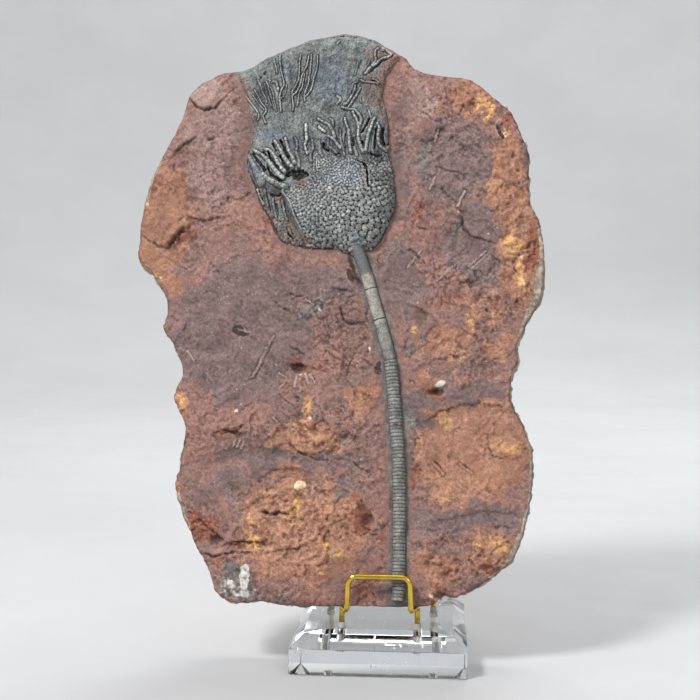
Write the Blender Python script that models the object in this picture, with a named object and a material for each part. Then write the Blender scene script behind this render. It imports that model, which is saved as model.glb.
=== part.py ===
"""A crinoid fossil in its slab of red limestone, leaning on a brass easel on a clear acrylic block.

Sizes are in millimetres and MM turns them into the scene's metres. +Z is up, the fossil faces -Y and
the origin is the middle of the block's underside. The slab, the crinoid and all that is cut in them
are drawn in the slab's own frame: u to the right, v up the face, w out of the face.
"""

import math
import random

import bmesh
import bpy
from mathutils import Vector, noise
from mathutils.geometry import delaunay_2d_cdt

MM = 0.001

# The clear block and the wires that stand in it.
BASE_SIDE = 101.6
BASE_HEIGHT = 22.0
BEVEL_INSET = 7.7
BEVEL_DROP = 7.1
WIRE_RADIUS = 1.6
SLEEVE_INNER = 1.9
SLEEVE_OUTER = 2.2
HOLE_RADIUS = 2.5
SLEEVE_RISE = 3.0
HOLE_DEPTH = 12.3
GAP = 0.3
FRONT_PIN = (22.0, -28.0)
REAR_PIN = (31.3, 7.5)
SHELF_Z = 34.7
LOOP_FOOT = (18.3, -39.6)
LOOP_TOP = (17.7, -39.6, 54.6)
BACK_REST_FOOT_Z = 27.0
BACK_REST = (31.3, 20.9, 185.0)
BEND_RADIUS = 5.0
SHELF_BEND = 2.6
BEND_STEPS = 4
ROUND_SIDES = 12

# How the slab stands: the foot of its face and how far it leans back.
SLAB_FOOT = (0.0, -36.6, 38.0)
SLAB_LEAN = math.radians(10)
SLAB_THICKNESS = 30.0
FACE_SPACING = 8.3
BACK_SPACING = 17.0
LONGEST_CHIP = 11.0
CHIP_DEPTH = 0.7
POCKET_FLOOR = -4.3
PIECE_FLOOR = POCKET_FLOOR + GAP

# The rings of the slab's side, as (w, how far out of the outline, how much that varies).
SIDE_RINGS = ((-2.6, 0.0, 0.3), (-11.0, 0.6, 0.9), (-21.0, 0.9, 1.0), (-27.4, -0.4, 0.6))
FACE_INSET = 0.8
BACK_INSET = 4.0
SEAT_HALF = 30.0

SLAB_OUTLINE = (
    (-25, 339), (-8, 335.5), (1, 330), (11, 324.5), (18, 316.5), (32, 313), (50, 310.5), (61, 303),
    (75, 290), (80, 279), (85, 267), (86, 250), (86, 236), (92, 223), (95, 203), (93, 180), (84, 162),
    (79, 150), (79.5, 142), (75.5, 130), (76.5, 116), (82, 105), (88, 89), (88, 70), (86, 55), (80, 33),
    (74, 23), (58, 11), (45, 4.5), (38, 5.5), (31, 1), (25, 0), (15, 0), (5, 0.3), (-15, 0), (-25, 0),
    (-33, -1), (-53, -2), (-70, -0.5), (-84, -2), (-94, 3), (-98, 10), (-102, 20), (-109, 33),
    (-117, 50), (-121.5, 66), (-118, 86), (-117, 103), (-124, 117), (-119, 133), (-125, 149),
    (-131.5, 159), (-129, 173), (-139, 192), (-146, 197), (-148, 205), (-145.5, 230), (-141, 249),
    (-134, 265), (-125, 283), (-119, 302), (-108, 311), (-95, 316), (-85, 317), (-73, 324),
    (-58, 330.5), (-47, 335), (-38, 337),
)

# The crown's edge, in three runs, clockwise: top and right side, calyx to the stem, stem to the top.
CROWN_RIGHT = (
    (-25, 337), (-8.5, 333.6), (0, 328), (7.5, 324), (4, 318), (1, 312), (-1, 306), (-2, 299),
    (0, 292), (1.5, 285), (2, 276), (2, 265),
)
CALYX_RIGHT = (
    (4, 257), (5.2, 250), (6.5, 240), (6, 231), (3.5, 224.5), (0.5, 217), (-3, 210.5), (-7.5, 206.5),
)
CALYX_LEFT = ((-24, 205.5), (-30, 207.5), (-37, 207.5), (-43, 207.8))
CROWN_LEFT = (
    (-51, 209), (-60, 211.5), (-64.5, 217), (-69, 227), (-74, 234), (-77.5, 245), (-80.5, 250.5),
    (-82.5, 256), (-82.5, 265), (-80, 273), (-79.5, 281), (-82, 290), (-84.5, 301), (-88, 308),
    (-89, 313.2), (-84, 315.2), (-72, 322.2), (-57.5, 328.6), (-46.5, 333.2), (-37.5, 335.2),
)
# Where the calyx ends and the arms begin, from the end of CALYX_LEFT to the end of CROWN_RIGHT.
CALYX_TOP = (
    (-47.5, 215), (-51.5, 222), (-54.5, 229), (-57, 235), (-60, 240.5), (-55.5, 243.6), (-46, 245),
    (-43, 252), (-41, 259), (-36, 260), (-28, 258.5), (-20, 261), (-14, 258.5), (-7, 257.5), (-2, 260),
)

# The crown's height over the slab's face at each v, and how far in from its edge it gets there.
CROWN_RISE = (
    (203, 2.6, 6), (212, 6.0, 11), (226, 8.8, 15), (240, 9.6, 16), (252, 8.6, 14), (262, 6.4, 11),
    (278, 4.4, 8), (300, 2.0, 6), (340, 0.9, 5),
)
CROWN_EDGE = 0.7
FLANK_DROP = 0.28
PLATE_SPACING = 5.2
PLATE_WANDER = 2.4
PLATE_RISE = 0.75
PIT_DEPTH = 0.85

# Each arm: half its width at the root and at the tip, how high it stands, and its middle line.
ARMS = (
    (1.5, 1.0, 1.5, ((-60, 248), (-63.5, 251.5), (-67.5, 256.5), (-71, 260.8), (-78, 265.6))),
    (1.3, 0.9, 1.4, ((-58.5, 251.5), (-62, 255), (-65, 261), (-67.5, 264.3), (-71, 266))),
    (1.3, 0.9, 1.4, ((-54.5, 254.5), (-57.5, 257.8), (-61.5, 264.5), (-65.5, 271))),
    (1.3, 0.9, 1.3, ((-53, 257), (-54.3, 260), (-57.8, 267), (-59.5, 273))),
    (1.6, 1.2, 1.2, ((-58, 242.7), (-62, 244), (-66, 245.8), (-72, 250.5))),
    (2.8, 0.9, 1.6, ((-74, 247.5), (-75.6, 250.5), (-78, 255), (-81, 262.5))),
    (1.1, 0.9, 1.3, ((-47.2, 265), (-47.4, 268.5), (-46.6, 272), (-47, 276.5), (-47.2, 281.5))),
    (1.1, 0.8, 1.3, ((-25.2, 266.3), (-28, 268.6), (-30.8, 272.3), (-34, 274.3))),
    (1.1, 0.8, 1.3, ((-29.5, 272.5), (-30.3, 275.5), (-32.3, 279.8), (-35.5, 282.7), (-40, 285))),
    (1.0, 0.9, 1.2, ((-35.6, 276.9), (-37.5, 278.2), (-39.8, 280.3))),
    (1.1, 0.8, 1.3, ((-20, 264.5), (-21.4, 271), (-22, 279), (-23.4, 282.5), (-24.2, 286))),
    (1.1, 0.8, 1.4, ((-12.3, 263.5), (-14.5, 268), (-16, 274), (-16.3, 282), (-20, 289.8))),
    (0.9, 0.6, 1.1, ((-15.6, 280.5), (-14.2, 284), (-16, 288), (-19, 290.4), (-24.5, 291.2))),
    (1.1, 0.9, 1.4, ((-11.2, 263.5), (-11, 268), (-9.7, 276), (-8.5, 280), (-6, 286))),
    (1.1, 0.8, 1.3, ((0.6, 266), (-2.3, 267.8), (-4, 271), (-4.3, 275), (-4.8, 282.3))),
    (1.0, 0.8, 1.1, ((-37.2, 262), (-38.6, 265.5), (-39.3, 272))),
    (0.7, 0.6, 0.7, ((-76.5, 243.5), (-74.8, 238.5), (-72.4, 234.2))),
    (0.8, 0.7, 0.8, ((-71.5, 243), (-71, 238), (-68, 229))),
    (0.8, 0.7, 0.8, ((-66.5, 242), (-66.3, 234), (-63.5, 224))),
    (0.8, 0.7, 0.8, ((-61.8, 236), (-59.5, 227), (-56, 219))),
    (0.5, 0.45, 0.7, ((-77, 284.8), (-75.8, 287), (-80, 294), (-83.3, 299.5))),
    (0.5, 0.45, 0.7, ((-71.5, 282), (-73.3, 287), (-71.3, 290.3), (-76.5, 299), (-79, 303))),
    (0.5, 0.45, 0.7, ((-68.5, 293), (-70.5, 299), (-73, 307))),
    (0.5, 0.45, 0.7, ((-66.5, 291), (-69, 299.5), (-71.5, 308))),
    (0.5, 0.45, 0.7, ((-65.5, 290), (-67, 297), (-69.5, 305))),
    (0.55, 0.45, 0.8, ((-62.5, 289.5), (-63.5, 299), (-61.2, 306.5), (-63.3, 316), (-64.2, 326))),
    (0.5, 0.4, 0.6, ((-63, 297.5), (-60.3, 301), (-59.8, 306))),
    (0.5, 0.4, 0.6, ((-65.5, 313.5), (-67.8, 323))),
    (0.55, 0.45, 0.8, ((-55.5, 290), (-56, 299.5), (-52.3, 304), (-50, 313), (-46.5, 324))),
    (0.5, 0.45, 0.7, ((-56.5, 300.5), (-53.2, 307), (-52, 317), (-51.3, 325))),
    (0.55, 0.45, 0.7, ((-52.8, 293), (-52, 301), (-49.7, 307), (-49, 313))),
    (0.55, 0.45, 0.8, ((-49, 299), (-46.5, 307), (-45.3, 318), (-45, 325))),
    (0.55, 0.45, 0.8, ((-48.3, 295), (-48.3, 298.8), (-44.5, 304), (-42, 314), (-41.3, 324))),
    (0.7, 0.55, 0.9, ((-24.5, 293.5), (-20.5, 299), (-18.2, 305.5))),
    (0.65, 0.5, 0.8, ((-22.3, 292.4), (-17.8, 299), (-15.3, 304))),
    (0.65, 0.5, 0.8, ((-15.2, 309), (-13, 308), (-5, 306.5))),
    (0.7, 0.55, 0.9, ((-12.5, 313), (-8, 318.5), (-6.3, 321), (-6.5, 327), (-4.5, 329))),
    (0.7, 0.6, 0.9, ((-7.5, 317.5), (-4.5, 320.5), (-2, 322.5), (3, 324.3))),
    (0.5, 0.45, 0.6, ((-18.7, 312), (-17, 320))),
)

# The deep gaps between arms, in the same way: half width at both ends, depth, middle line.
ARM_GAPS = (
    (0.6, 1.0, 2.4, ((-78.8, 263.2), (-76, 259.4), (-73, 255.8), (-71.2, 253.4))),
    (0.5, 0.8, 2.4, ((-69.2, 264.3), (-68.3, 261.3), (-66.3, 258.1), (-63, 254.2))),
    (0.5, 1.0, 2.6, ((-69, 254.2), (-68.2, 251.8), (-66, 249.3), (-62, 246.4))),
    (0.4, 0.9, 2.2, ((-62.6, 262.4), (-60.4, 258.6), (-57.3, 253.6))),
    (0.8, 0.7, 2.0, ((-61.9, 270.6), (-60.2, 267.6), (-56.4, 260.8))),
    (1.2, 1.6, 4.2, ((-56.2, 251.4), (-52.6, 248.4), (-49, 249), (-46.4, 250.4))),
    (0.6, 0.7, 1.8, ((-13.8, 277), (-11.6, 281), (-10.2, 284.6))),
    (0.7, 0.7, 1.8, ((-36.6, 269.5), (-35.4, 266.5), (-32.6, 265.3))),
    (0.8, 0.9, 1.8, ((-1.4, 279), (-1.8, 274), (-0.4, 269.6))),
    (0.5, 0.6, 1.5, ((-18.8, 273), (-18.2, 268.4))),
)
CLEFT = (0.5, 0.5, 2.2, ((-12.6, 256.4), (-10.2, 252), (-9.4, 246)))

# The stem's middle line from the calyx down, and where its close rings begin.
STEM_LINE = (
    (-14.6, 204.4), (-9.5, 190), (-6.5, 180), (-0.5, 160), (4.7, 140), (7, 120), (8.7, 100), (10.3, 80),
    (11, 60), (11.2, 40), (11.2, 20), (10.8, 2.2),
)
STEM_RADIUS = 3.9
STEM_AXIS = -0.2
STEM_SMOOTH = 3.65
STEM_JOINTS = (183.0, 165.0, 141.0)
STEM_RING_PITCH = 2.05
STEM_RING_DEPTH = 0.5
STEM_STEP = 7.0
STEM_ARC = (0, 45, 90, 135, 180)

# Lumps and hollows of the face: centre, half sizes, turn in degrees, height.
LUMPS = (
    (-107, 303, 13, 9, -15, 2.4), (-134, 232, 12, 27, 4, 1.4), (-36, 38, 38, 40, 0, 2.2),
    (-86, 10, 11, 13, 0, 1.4), (54, 87, 33, 28, 0, -1.6), (86, 215, 13, 50, 0, -2.6),
    (52, 303, 10, 10, 0, -1.6), (-100, 60, 22, 40, 10, -1.5), (50, 25, 34, 22, 20, 1.2),
    (-85, 155, 42, 46, 0, 0.8), (42, 165, 26, 30, 0, -1.1), (35, 262, 22, 34, 10, 0.8),
    (-115, 270, 16, 22, 0, -0.9), (-44, 104, 9, 13, 0, 1.2), (-52, 128, 11, 11, 0, -1.1),
    (68, 273, 9, 12, 0, -1.2), (-20, 100, 16, 30, 0, 0.6), (-60, 190, 30, 14, -10, -0.5),
)
# Ledges: step height (the left of the line, walking along it, is the high side) and how far it fades.
LEDGES = (
    (3.2, 12, ((-132, 205), (-128, 210), (-122, 217.5), (-115, 220.5))),
    (2.0, 10, ((-130, 262), (-121, 270), (-112, 276.5))),
    (1.6, 10, ((-119, 227), (-107, 224), (-94, 226))),
    (1.6, 14, ((22, 104), (35, 112), (50, 116), (65, 115), (77, 111))),
    (1.8, 14, ((-72, 70), (-62, 77), (-50, 78), (-38, 74))),
    (1.5, 10, ((29, 247), (44, 234))),
    (1.6, 10, ((44, 229), (52, 215), (68, 210))),
    (1.4, 9, ((8, 207), (27, 196))),
    (1.2, 9, ((28, 258), (46, 253))),
    (1.8, 9, ((-94, 31), (-80, 34), (-65, 33))),
    (1.8, 9, ((-107, 27), (-90, 25), (-71, 29))),
    (1.4, 9, ((-66, 28), (-52, 30), (-38, 34))),
    (1.6, 8, ((-69, 52), (-60, 50.5), (-52, 51))),
    (1.6, 9, ((-108, 47), (-98, 40), (-89, 33))),
    (1.5, 9, ((-101, 96), (-90, 98), (-80, 104))),
    (1.4, 10, ((-118, 299), (-113, 293), (-104, 292), (-97, 299))),
    (1.3, 12, ((20, 47), (40, 50), (60, 55), (84, 53))),
    (1.2, 12, ((-114, 82), (-80, 90), (-40, 86), (-8, 92))),
)
# Pits: centre, half sizes, depth.
PITS = (
    (-49.5, 136, 4.5, 3.2, 2.6), (-105, 274, 3.2, 3.0, 2.2), (32, 123, 4.8, 2.8, 2.4),
    (-13, 92, 4, 3, 1.4), (-95, 35, 4, 3, 1.8), (-32, 158, 4, 3, 1.0),
)
# The face's unevenness: height and size of its swells, coarse to fine.
FACE_NOISE = ((1.7, 42), (1.6, 17), (1.1, 8))
TROUGH_DEPTH = 1.9
TROUGH_WIDTH = 4.5
FACE_ROUNDING = 5.0

COLOURS = {
    "matrix_slab": ((0.235, 0.098, 0.072), 0.85, 0.0),
    "crinoid_calyx": ((0.150, 0.170, 0.170), 0.62, 0.0),
    "crinoid_arms": ((0.120, 0.130, 0.130), 0.66, 0.0),
    "crinoid_stem": ((0.135, 0.130, 0.118), 0.60, 0.0),
    "acrylic_base": ((0.86, 0.90, 0.92), 0.08, 0.0),
    "front_bracket": ((0.86, 0.62, 0.18), 0.22, 1.0),
    "rear_bracket": ((0.86, 0.62, 0.18), 0.22, 1.0),
    "sleeve": ((0.80, 0.80, 0.76), 0.45, 0.0),
}


# ---------------------------------------------------------------- plane geometry

def nearest(point, line):
    """Distance to an open line, how far along it in 0..1, and the side: +1 left, -1 right."""
    best = (1e9, 0.0, 1.0)
    total = sum(math.dist(a, b) for a, b in zip(line, line[1:]))
    walked = 0.0
    for (ax, ay), (bx, by) in zip(line, line[1:]):
        dx, dy = bx - ax, by - ay
        size = math.hypot(dx, dy)
        px, py = point[0] - ax, point[1] - ay
        t = min(1.0, max(0.0, (px * dx + py * dy) / size ** 2))
        away = math.hypot(px - t * dx, py - t * dy)
        if away < best[0]:
            side = 1.0 if dx * py - dy * px > 0 else -1.0
            best = (away, (walked + t * size) / total, side)
        walked += size
    return best


def closed(loop):
    return tuple(loop) + (loop[0],)


def inside(point, loop):
    """Whether the point is within the closed outline."""
    x, y = point[0], point[1]
    found = False
    for (ax, ay), (bx, by) in zip(loop, loop[1:] + loop[:1]):
        if (ay > y) != (by > y) and x < ax + (y - ay) * (bx - ax) / (by - ay):
            found = not found
    return found


def shifted(line, distance, is_closed=False):
    """The line moved to its left by distance, its corners kept sharp."""
    count = len(line)
    moved = []
    for i, (x, y) in enumerate(line):
        before = line[i - 1] if i or is_closed else None
        after = line[(i + 1) % count] if i + 1 < count or is_closed else None
        normals = []
        for a, b in ((before, (x, y)), ((x, y), after)):
            if a is not None and b is not None:
                size = math.dist(a, b)
                normals.append(((a[1] - b[1]) / size, (b[0] - a[0]) / size))
        nx = sum(n[0] for n in normals) / len(normals)
        ny = sum(n[1] for n in normals) / len(normals)
        stretch = max(0.12, nx * nx + ny * ny)
        moved.append((x + nx * distance / stretch, y + ny * distance / stretch))
    return tuple(moved)


def spline(points, step):
    """Points about step apart on a smooth curve through the given ones."""
    padded = (points[0],) + tuple(points) + (points[-1],)
    line = [points[0]]
    for a, b, c, d in zip(padded, padded[1:], padded[2:], padded[3:]):
        parts = max(1, round(math.dist(b, c) / step))
        for i in range(1, parts + 1):
            t = i / parts
            weights = (-t + 2 * t * t - t ** 3, 2 - 5 * t * t + 3 * t ** 3,
                       t + 4 * t * t - 3 * t ** 3, t ** 3 - t * t)
            line.append(tuple(sum(w * p[k] for w, p in zip(weights, (a, b, c, d))) / 2 for k in (0, 1)))
    return line


def scatter(loop, spacing, avoid, clear, seed):
    """Loose points about spacing apart within the loop, all at least clear away from the lines."""
    draw = random.Random(seed)
    points = []
    row_height = spacing * math.sqrt(3) / 2
    low_u, high_u = min(p[0] for p in loop), max(p[0] for p in loop)
    low_v, high_v = min(p[1] for p in loop), max(p[1] for p in loop)
    for row in range(int((high_v - low_v) / row_height) + 1):
        for column in range(int((high_u - low_u) / spacing) + 2):
            shake = 0.22 * spacing
            u = low_u + (column + row % 2 / 2) * spacing + draw.uniform(-shake, shake)
            v = low_v + row * row_height + draw.uniform(-shake, shake)
            if inside((u, v), loop) and all(nearest((u, v), line)[0] > clear for line in avoid):
                points.append((u, v))
    return points


def bump(away, half_width):
    """A round-topped rise: 1 on the line and 0 past half_width from it."""
    return math.sqrt(max(0.0, 1 - (away / half_width) ** 2))


def smooth_step(t):
    t = min(1.0, max(0.0, t))
    return t * t * (3 - 2 * t)


# ---------------------------------------------------------------- outlines

def stem_edges():
    """The two sides of the channel that the stem lies in, each from the calyx down."""
    middle = spline(STEM_LINE, STEM_STEP)
    half = STEM_RADIUS + GAP
    end = (middle[-1][0], middle[-1][1] - GAP)
    middle[-1] = end
    return shifted(middle, half), shifted(middle, -half)


def pocket_outline():
    left_of_stem, right_of_stem = sorted(stem_edges(), key=lambda edge: edge[-1][0])
    return CROWN_RIGHT + CALYX_RIGHT + right_of_stem + left_of_stem[::-1] + CALYX_LEFT + CROWN_LEFT


def calyx_outline():
    left_of_stem, right_of_stem = sorted(stem_edges(), key=lambda edge: edge[-1][0])
    loop = CROWN_RIGHT[-1:] + CALYX_RIGHT + right_of_stem[:1] + left_of_stem[:1] + CALYX_LEFT + CALYX_TOP
    return shifted(loop, -GAP, True)


def towards(a, b, distance):
    share = distance / math.dist(a, b)
    return (a[0] + (b[0] - a[0]) * share, a[1] + (b[1] - a[1]) * share)


def arms_outline():
    """The crown's edge above the calyx, and the calyx's top set off by the gap between them."""
    border = shifted(CALYX_LEFT[-1:] + CALYX_TOP + CROWN_RIGHT[-1:], -GAP)[1:-1]
    right = towards(CROWN_RIGHT[-1], CROWN_RIGHT[-2], 2 * GAP)
    left = towards(CALYX_LEFT[-1], CROWN_LEFT[0], 3 * GAP)
    loop = CROWN_RIGHT[:-1] + (right,) + border[::-1] + (left,) + CROWN_LEFT
    return shifted(loop, -GAP, True)


def chipped_outline():
    """The slab's outline with its long sides broken into shorter, uneven ones."""
    points = []
    for i, (a, b) in enumerate(zip(SLAB_OUTLINE, SLAB_OUTLINE[1:] + SLAB_OUTLINE[:1])):
        points.append(a)
        length = math.dist(a, b)
        parts = math.ceil(length / LONGEST_CHIP)
        for k in range(1, parts):
            x, y = (a[0] + (b[0] - a[0]) * k / parts, a[1] + (b[1] - a[1]) * k / parts)
            push = 0.0 if y < 3 else CHIP_DEPTH * noise.noise(Vector((x, y, 9.0)) / 7)
            points.append((x + (b[1] - a[1]) / length * push, y - (b[0] - a[0]) / length * push))
    return tuple(points)


# ---------------------------------------------------------------- heights

def ledge_height(u, v):
    total = 0.0
    for rise, fade, line in LEDGES:
        away, along, side = nearest((u, v), line)
        if away < 4 * fade:
            ends = smooth_step(along / 0.2) * smooth_step((1 - along) / 0.2)
            total += rise / 2 * side * smooth_step(away / 0.8) * math.exp(-away / fade) * ends
    return total


def slab_height(u, v, outline, pocket):
    """The face of the slab: broad swells, lumps, ledges, pits and the trough around the fossil."""
    spot = Vector((u, v, 3.0))
    w = sum(rise * noise.noise(spot / size) for rise, size in FACE_NOISE)
    for cu, cv, ru, rv, turn, rise in LUMPS:
        angle = math.radians(turn)
        du, dv = u - cu, v - cv
        x = (du * math.cos(angle) + dv * math.sin(angle)) / ru
        y = (dv * math.cos(angle) - du * math.sin(angle)) / rv
        w += rise * math.exp(-(x * x + y * y) ** 1.5)
    w += ledge_height(u, v)
    for cu, cv, ru, rv, depth in PITS:
        w -= depth * math.exp(-((u - cu) / ru) ** 4 - ((v - cv) / rv) ** 4)
    to_fossil = nearest((u, v), closed(pocket))[0]
    calm = math.exp(-(to_fossil / TROUGH_WIDTH) ** 2)
    w = w * (1 - calm) - TROUGH_DEPTH * calm * (1.0 if v > 196 else 0.35)
    to_rim = nearest((u, v), closed(outline))[0]
    w -= 1.3 * max(0.0, 1 - to_rim / FACE_ROUNDING) ** 2
    near_loop = smooth_step((30 - abs(u)) / 6) * smooth_step((26 - v) / 8)
    return w + (min(w, 0.2) - w) * near_loop


def crown_rise(v):
    for (v0, h0, r0), (v1, h1, r1) in zip(CROWN_RISE, CROWN_RISE[1:]):
        if v <= v1:
            t = max(0.0, (v - v0) / (v1 - v0))
            return h0 + (h1 - h0) * t, r0 + (r1 - r0) * t
    return CROWN_RISE[-1][1:]


def crown_height(u, v, edge):
    """The smooth swell of calyx and arms over the slab's face, rounded down to its edge."""
    rise, reach = crown_rise(v)
    away = nearest((u, v), edge)[0]
    return CROWN_EDGE + rise * bump(max(0.0, reach - away), reach)


def flank_share(u, v):
    """1 on the low flank left of the calyx, 0 on the calyx and on the arms above it."""
    away, _, side = nearest((u, v), CALYX_LEFT[-1:] + CALYX_TOP[:5])
    return smooth_step((247 - v) / 8) if side > 0 or away < 0.2 else 0.0


def ridge_heights(u, v, ridges):
    total = 0.0
    for root, tip, rise, line in ridges:
        away, along, _ = nearest((u, v), line)
        total = max(total, rise * bump(away, root + (tip - root) * along))
    return total


def arms_height(u, v, edge):
    w = crown_height(u, v, edge)
    w += (CROWN_EDGE + (w - CROWN_EDGE) * FLANK_DROP - w) * flank_share(u, v)
    w += 0.35 * noise.noise(Vector((u, v, 5.0)) / 9)
    return w + ridge_heights(u, v, ARMS) - ridge_heights(u, v, ARM_GAPS)


# ---------------------------------------------------------------- meshes

def relief(points, chains, keep, height):
    """Triangles through all the points, with the chains as edges, wherever keep says so."""
    coords = [Vector(p) for p in points]
    edges = []
    for chain in chains:
        first = len(coords)
        coords += [Vector(p) for p in chain]
        edges += [(first + i, first + i + 1) for i in range(len(chain) - 1)]
    flat, _, faces, *_ = delaunay_2d_cdt(coords, edges, [], 0, 1e-3)
    bm = bmesh.new()
    verts = [bm.verts.new((p.x, p.y, height(p.x, p.y))) for p in flat]
    for face in faces:
        middle = (flat[face[0]] + flat[face[1]] + flat[face[2]]) / 3
        if keep(middle):
            bm.faces.new([verts[i] for i in face])
    bmesh.ops.delete(bm, geom=[v for v in verts if not v.link_faces], context="VERTS")
    return bm


def edge_loops(bm):
    """Every open edge of the mesh, as loops of vertices in order."""
    left = {e for e in bm.edges if e.is_boundary}
    loops = []
    while left:
        edge = left.pop()
        loop = [edge.verts[0], edge.verts[1]]
        while loop[-1] is not loop[0]:
            edge = next(e for e in loop[-1].link_edges if e in left)
            left.discard(edge)
            loop.append(edge.other_vert(loop[-1]))
        loops.append(loop[:-1])
    return loops


def add_ring(bm, loop, places):
    """A strip of faces from the loop to a new ring at the places, which it returns."""
    ring = [bm.verts.new(p) for p in places]
    for i in range(len(loop)):
        k = (i + 1) % len(loop)
        bm.faces.new((loop[i], loop[k], ring[k], ring[i]))
    return ring


def fill(bm, ring, loose, height):
    """Triangles between the vertices of a ring, through the loose points within it."""
    loop = tuple((v.co.x, v.co.y) for v in ring)
    sheet = relief(loose, [closed(loop)], lambda p: inside(p, loop), height)
    mine = {(round(v.co.x, 3), round(v.co.y, 3)): v for v in ring}
    copies = {}
    for vert in sheet.verts:
        key = (round(vert.co.x, 3), round(vert.co.y, 3))
        copies[vert] = mine.get(key) or bm.verts.new(vert.co)
    for face in sheet.faces:
        bm.faces.new([copies[v] for v in face.verts])
    sheet.free()


def close_down(bm, loop, w):
    """Upright walls from the loop to a flat floor."""
    fill(bm, add_ring(bm, loop, [(v.co.x, v.co.y, w) for v in loop]), [], lambda u, v: w)


def finished(bm, name, material, parent=None):
    bmesh.ops.triangulate(bm, faces=[f for f in bm.faces if len(f.verts) > 3])
    bmesh.ops.recalc_face_normals(bm, faces=bm.faces)
    bmesh.ops.scale(bm, vec=(MM, MM, MM), verts=bm.verts)
    mesh = bpy.data.meshes.new(name)
    bm.to_mesh(mesh)
    bm.free()
    return placed(mesh, name, material, parent)


def placed(data, name, material, parent=None):
    data.materials.append(material)
    thing = bpy.data.objects.new(name, data)
    bpy.context.scene.collection.objects.link(thing)
    thing.parent = parent
    return thing


def material_named(name):
    colour, roughness, metallic = COLOURS[name]
    material = bpy.data.materials.new(name)
    material.use_nodes = True
    shader = material.node_tree.nodes["Principled BSDF"]
    shader.inputs["Base Color"].default_value = (*colour, 1.0)
    shader.inputs["Roughness"].default_value = roughness
    shader.inputs["Metallic"].default_value = metallic
    if name == "acrylic_base":
        shader.inputs["Transmission Weight"].default_value = 1.0
        shader.inputs["IOR"].default_value = 1.49
    return material


# ---------------------------------------------------------------- slab and crinoid

def side_ring(loop, outwards, w, reach, varies):
    """The places of one ring of the slab's side. The seat on the easel is left even."""
    places = []
    for vert, (nx, ny) in zip(loop, outwards):
        u, v = vert.co.x, vert.co.y
        uneven = 0.0 if v < 3 and abs(u) < SEAT_HALF else 1.0
        push = FACE_INSET + uneven * (reach + varies * noise.noise(Vector((u, v, w)) / 21))
        places.append((u + nx * push, v + ny * push, w))
    return places


def outward_normals(loop):
    """A unit vector out of the slab at each vertex of its rim, evened out over its neighbours."""
    count = len(loop)
    area = sum(a.co.x * b.co.y - b.co.x * a.co.y for a, b in zip(loop, loop[1:] + loop[:1]))
    turn = 1.0 if area > 0 else -1.0
    normals = []
    for i in range(count):
        a, b = loop[i - 2].co, loop[(i + 2) % count].co
        size = math.dist((a.x, a.y), (b.x, b.y))
        normals.append((turn * (b.y - a.y) / size, turn * (a.x - b.x) / size))
    return normals


def back_height(u, v):
    spot = Vector((u, v, 20.0))
    return -SLAB_THICKNESS + 1.2 + 1.1 * noise.noise(spot / 33) + 0.5 * noise.noise(spot / 12)


def close_back(bm, ring):
    """The rough back of the slab, between the vertices of the last ring."""
    loop = tuple((v.co.x, v.co.y) for v in ring)
    fill(bm, ring, scatter(loop, BACK_SPACING, [closed(loop)], BACK_SPACING / 2, 11), back_height)


def make_slab(parent):
    outline = shifted(chipped_outline(), -FACE_INSET, True)
    pocket = pocket_outline()
    ledges = [edge for _, _, line in LEDGES for edge in (shifted(line, 0.8), shifted(line, -0.8))]
    lines = [closed(outline), closed(pocket)] + ledges
    loose = scatter(outline, FACE_SPACING, lines, FACE_SPACING * 0.42, 5)
    loose = [p for p in loose if not inside(p, pocket)]
    loose += [(cu, cv) for cu, cv, *_ in PITS]
    bm = relief(loose, lines, lambda p: inside(p, outline) and not inside(p, pocket),
                lambda u, v: slab_height(u, v, outline, pocket))
    rim, hole = sorted(edge_loops(bm), key=lambda loop: min(v.co.x for v in loop))
    close_down(bm, hole, POCKET_FLOOR)
    outwards = outward_normals(rim)
    last = rim
    for w, reach, varies in SIDE_RINGS:
        last = add_ring(bm, last, side_ring(rim, outwards, w, reach, varies))
    back = [(v.co.x - nx * BACK_INSET, v.co.y - ny * BACK_INSET, back_height(v.co.x, v.co.y))
            for v, (nx, ny) in zip(last, outwards)]
    close_back(bm, add_ring(bm, last, back))
    return finished(bm, "matrix_slab", material_named("matrix_slab"), parent)


def ridge_chains(ridges, loop):
    """Three lines for each ridge, its crest and its two feet, as far as they lie in the loop."""
    chains = []
    for root, tip, _, line in ridges:
        feet = []
        for sign in (1, -1):
            wide = shifted(line, sign * root)
            slim = shifted(line, sign * tip)
            share = [nearest(p, line)[1] for p in line]
            feet.append([(a[0] + (b[0] - a[0]) * t, a[1] + (b[1] - a[1]) * t)
                         for a, b, t in zip(wide, slim, share)])
        for chain in (list(line), *feet):
            kept = [p for p in chain if inside(p, loop) and nearest(p, closed(loop))[0] > 0.35]
            chains.append(kept)
    return chains


def make_arms(parent):
    outline = arms_outline()
    edge = closed(pocket_outline())
    chains = ridge_chains(ARMS + ARM_GAPS, outline)
    fill = scatter(outline, 6.5, [closed(outline)] + chains, 2.4, 3)
    bm = relief(fill, [closed(outline)] + chains, lambda p: inside(p, outline),
                lambda u, v: arms_height(u, v, edge))
    close_down(bm, edge_loops(bm)[0], PIECE_FLOOR)
    return finished(bm, "crinoid_arms", material_named("crinoid_arms"), parent)


def wandered(u, v):
    """A lattice point pushed a little aside, so that the plates are not all alike."""
    spot = Vector((u, v, 2.0)) / 6
    far = Vector((v, u, 8.0)) / 6
    return u + PLATE_WANDER * noise.noise(spot), v + PLATE_WANDER * noise.noise(far)


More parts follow.
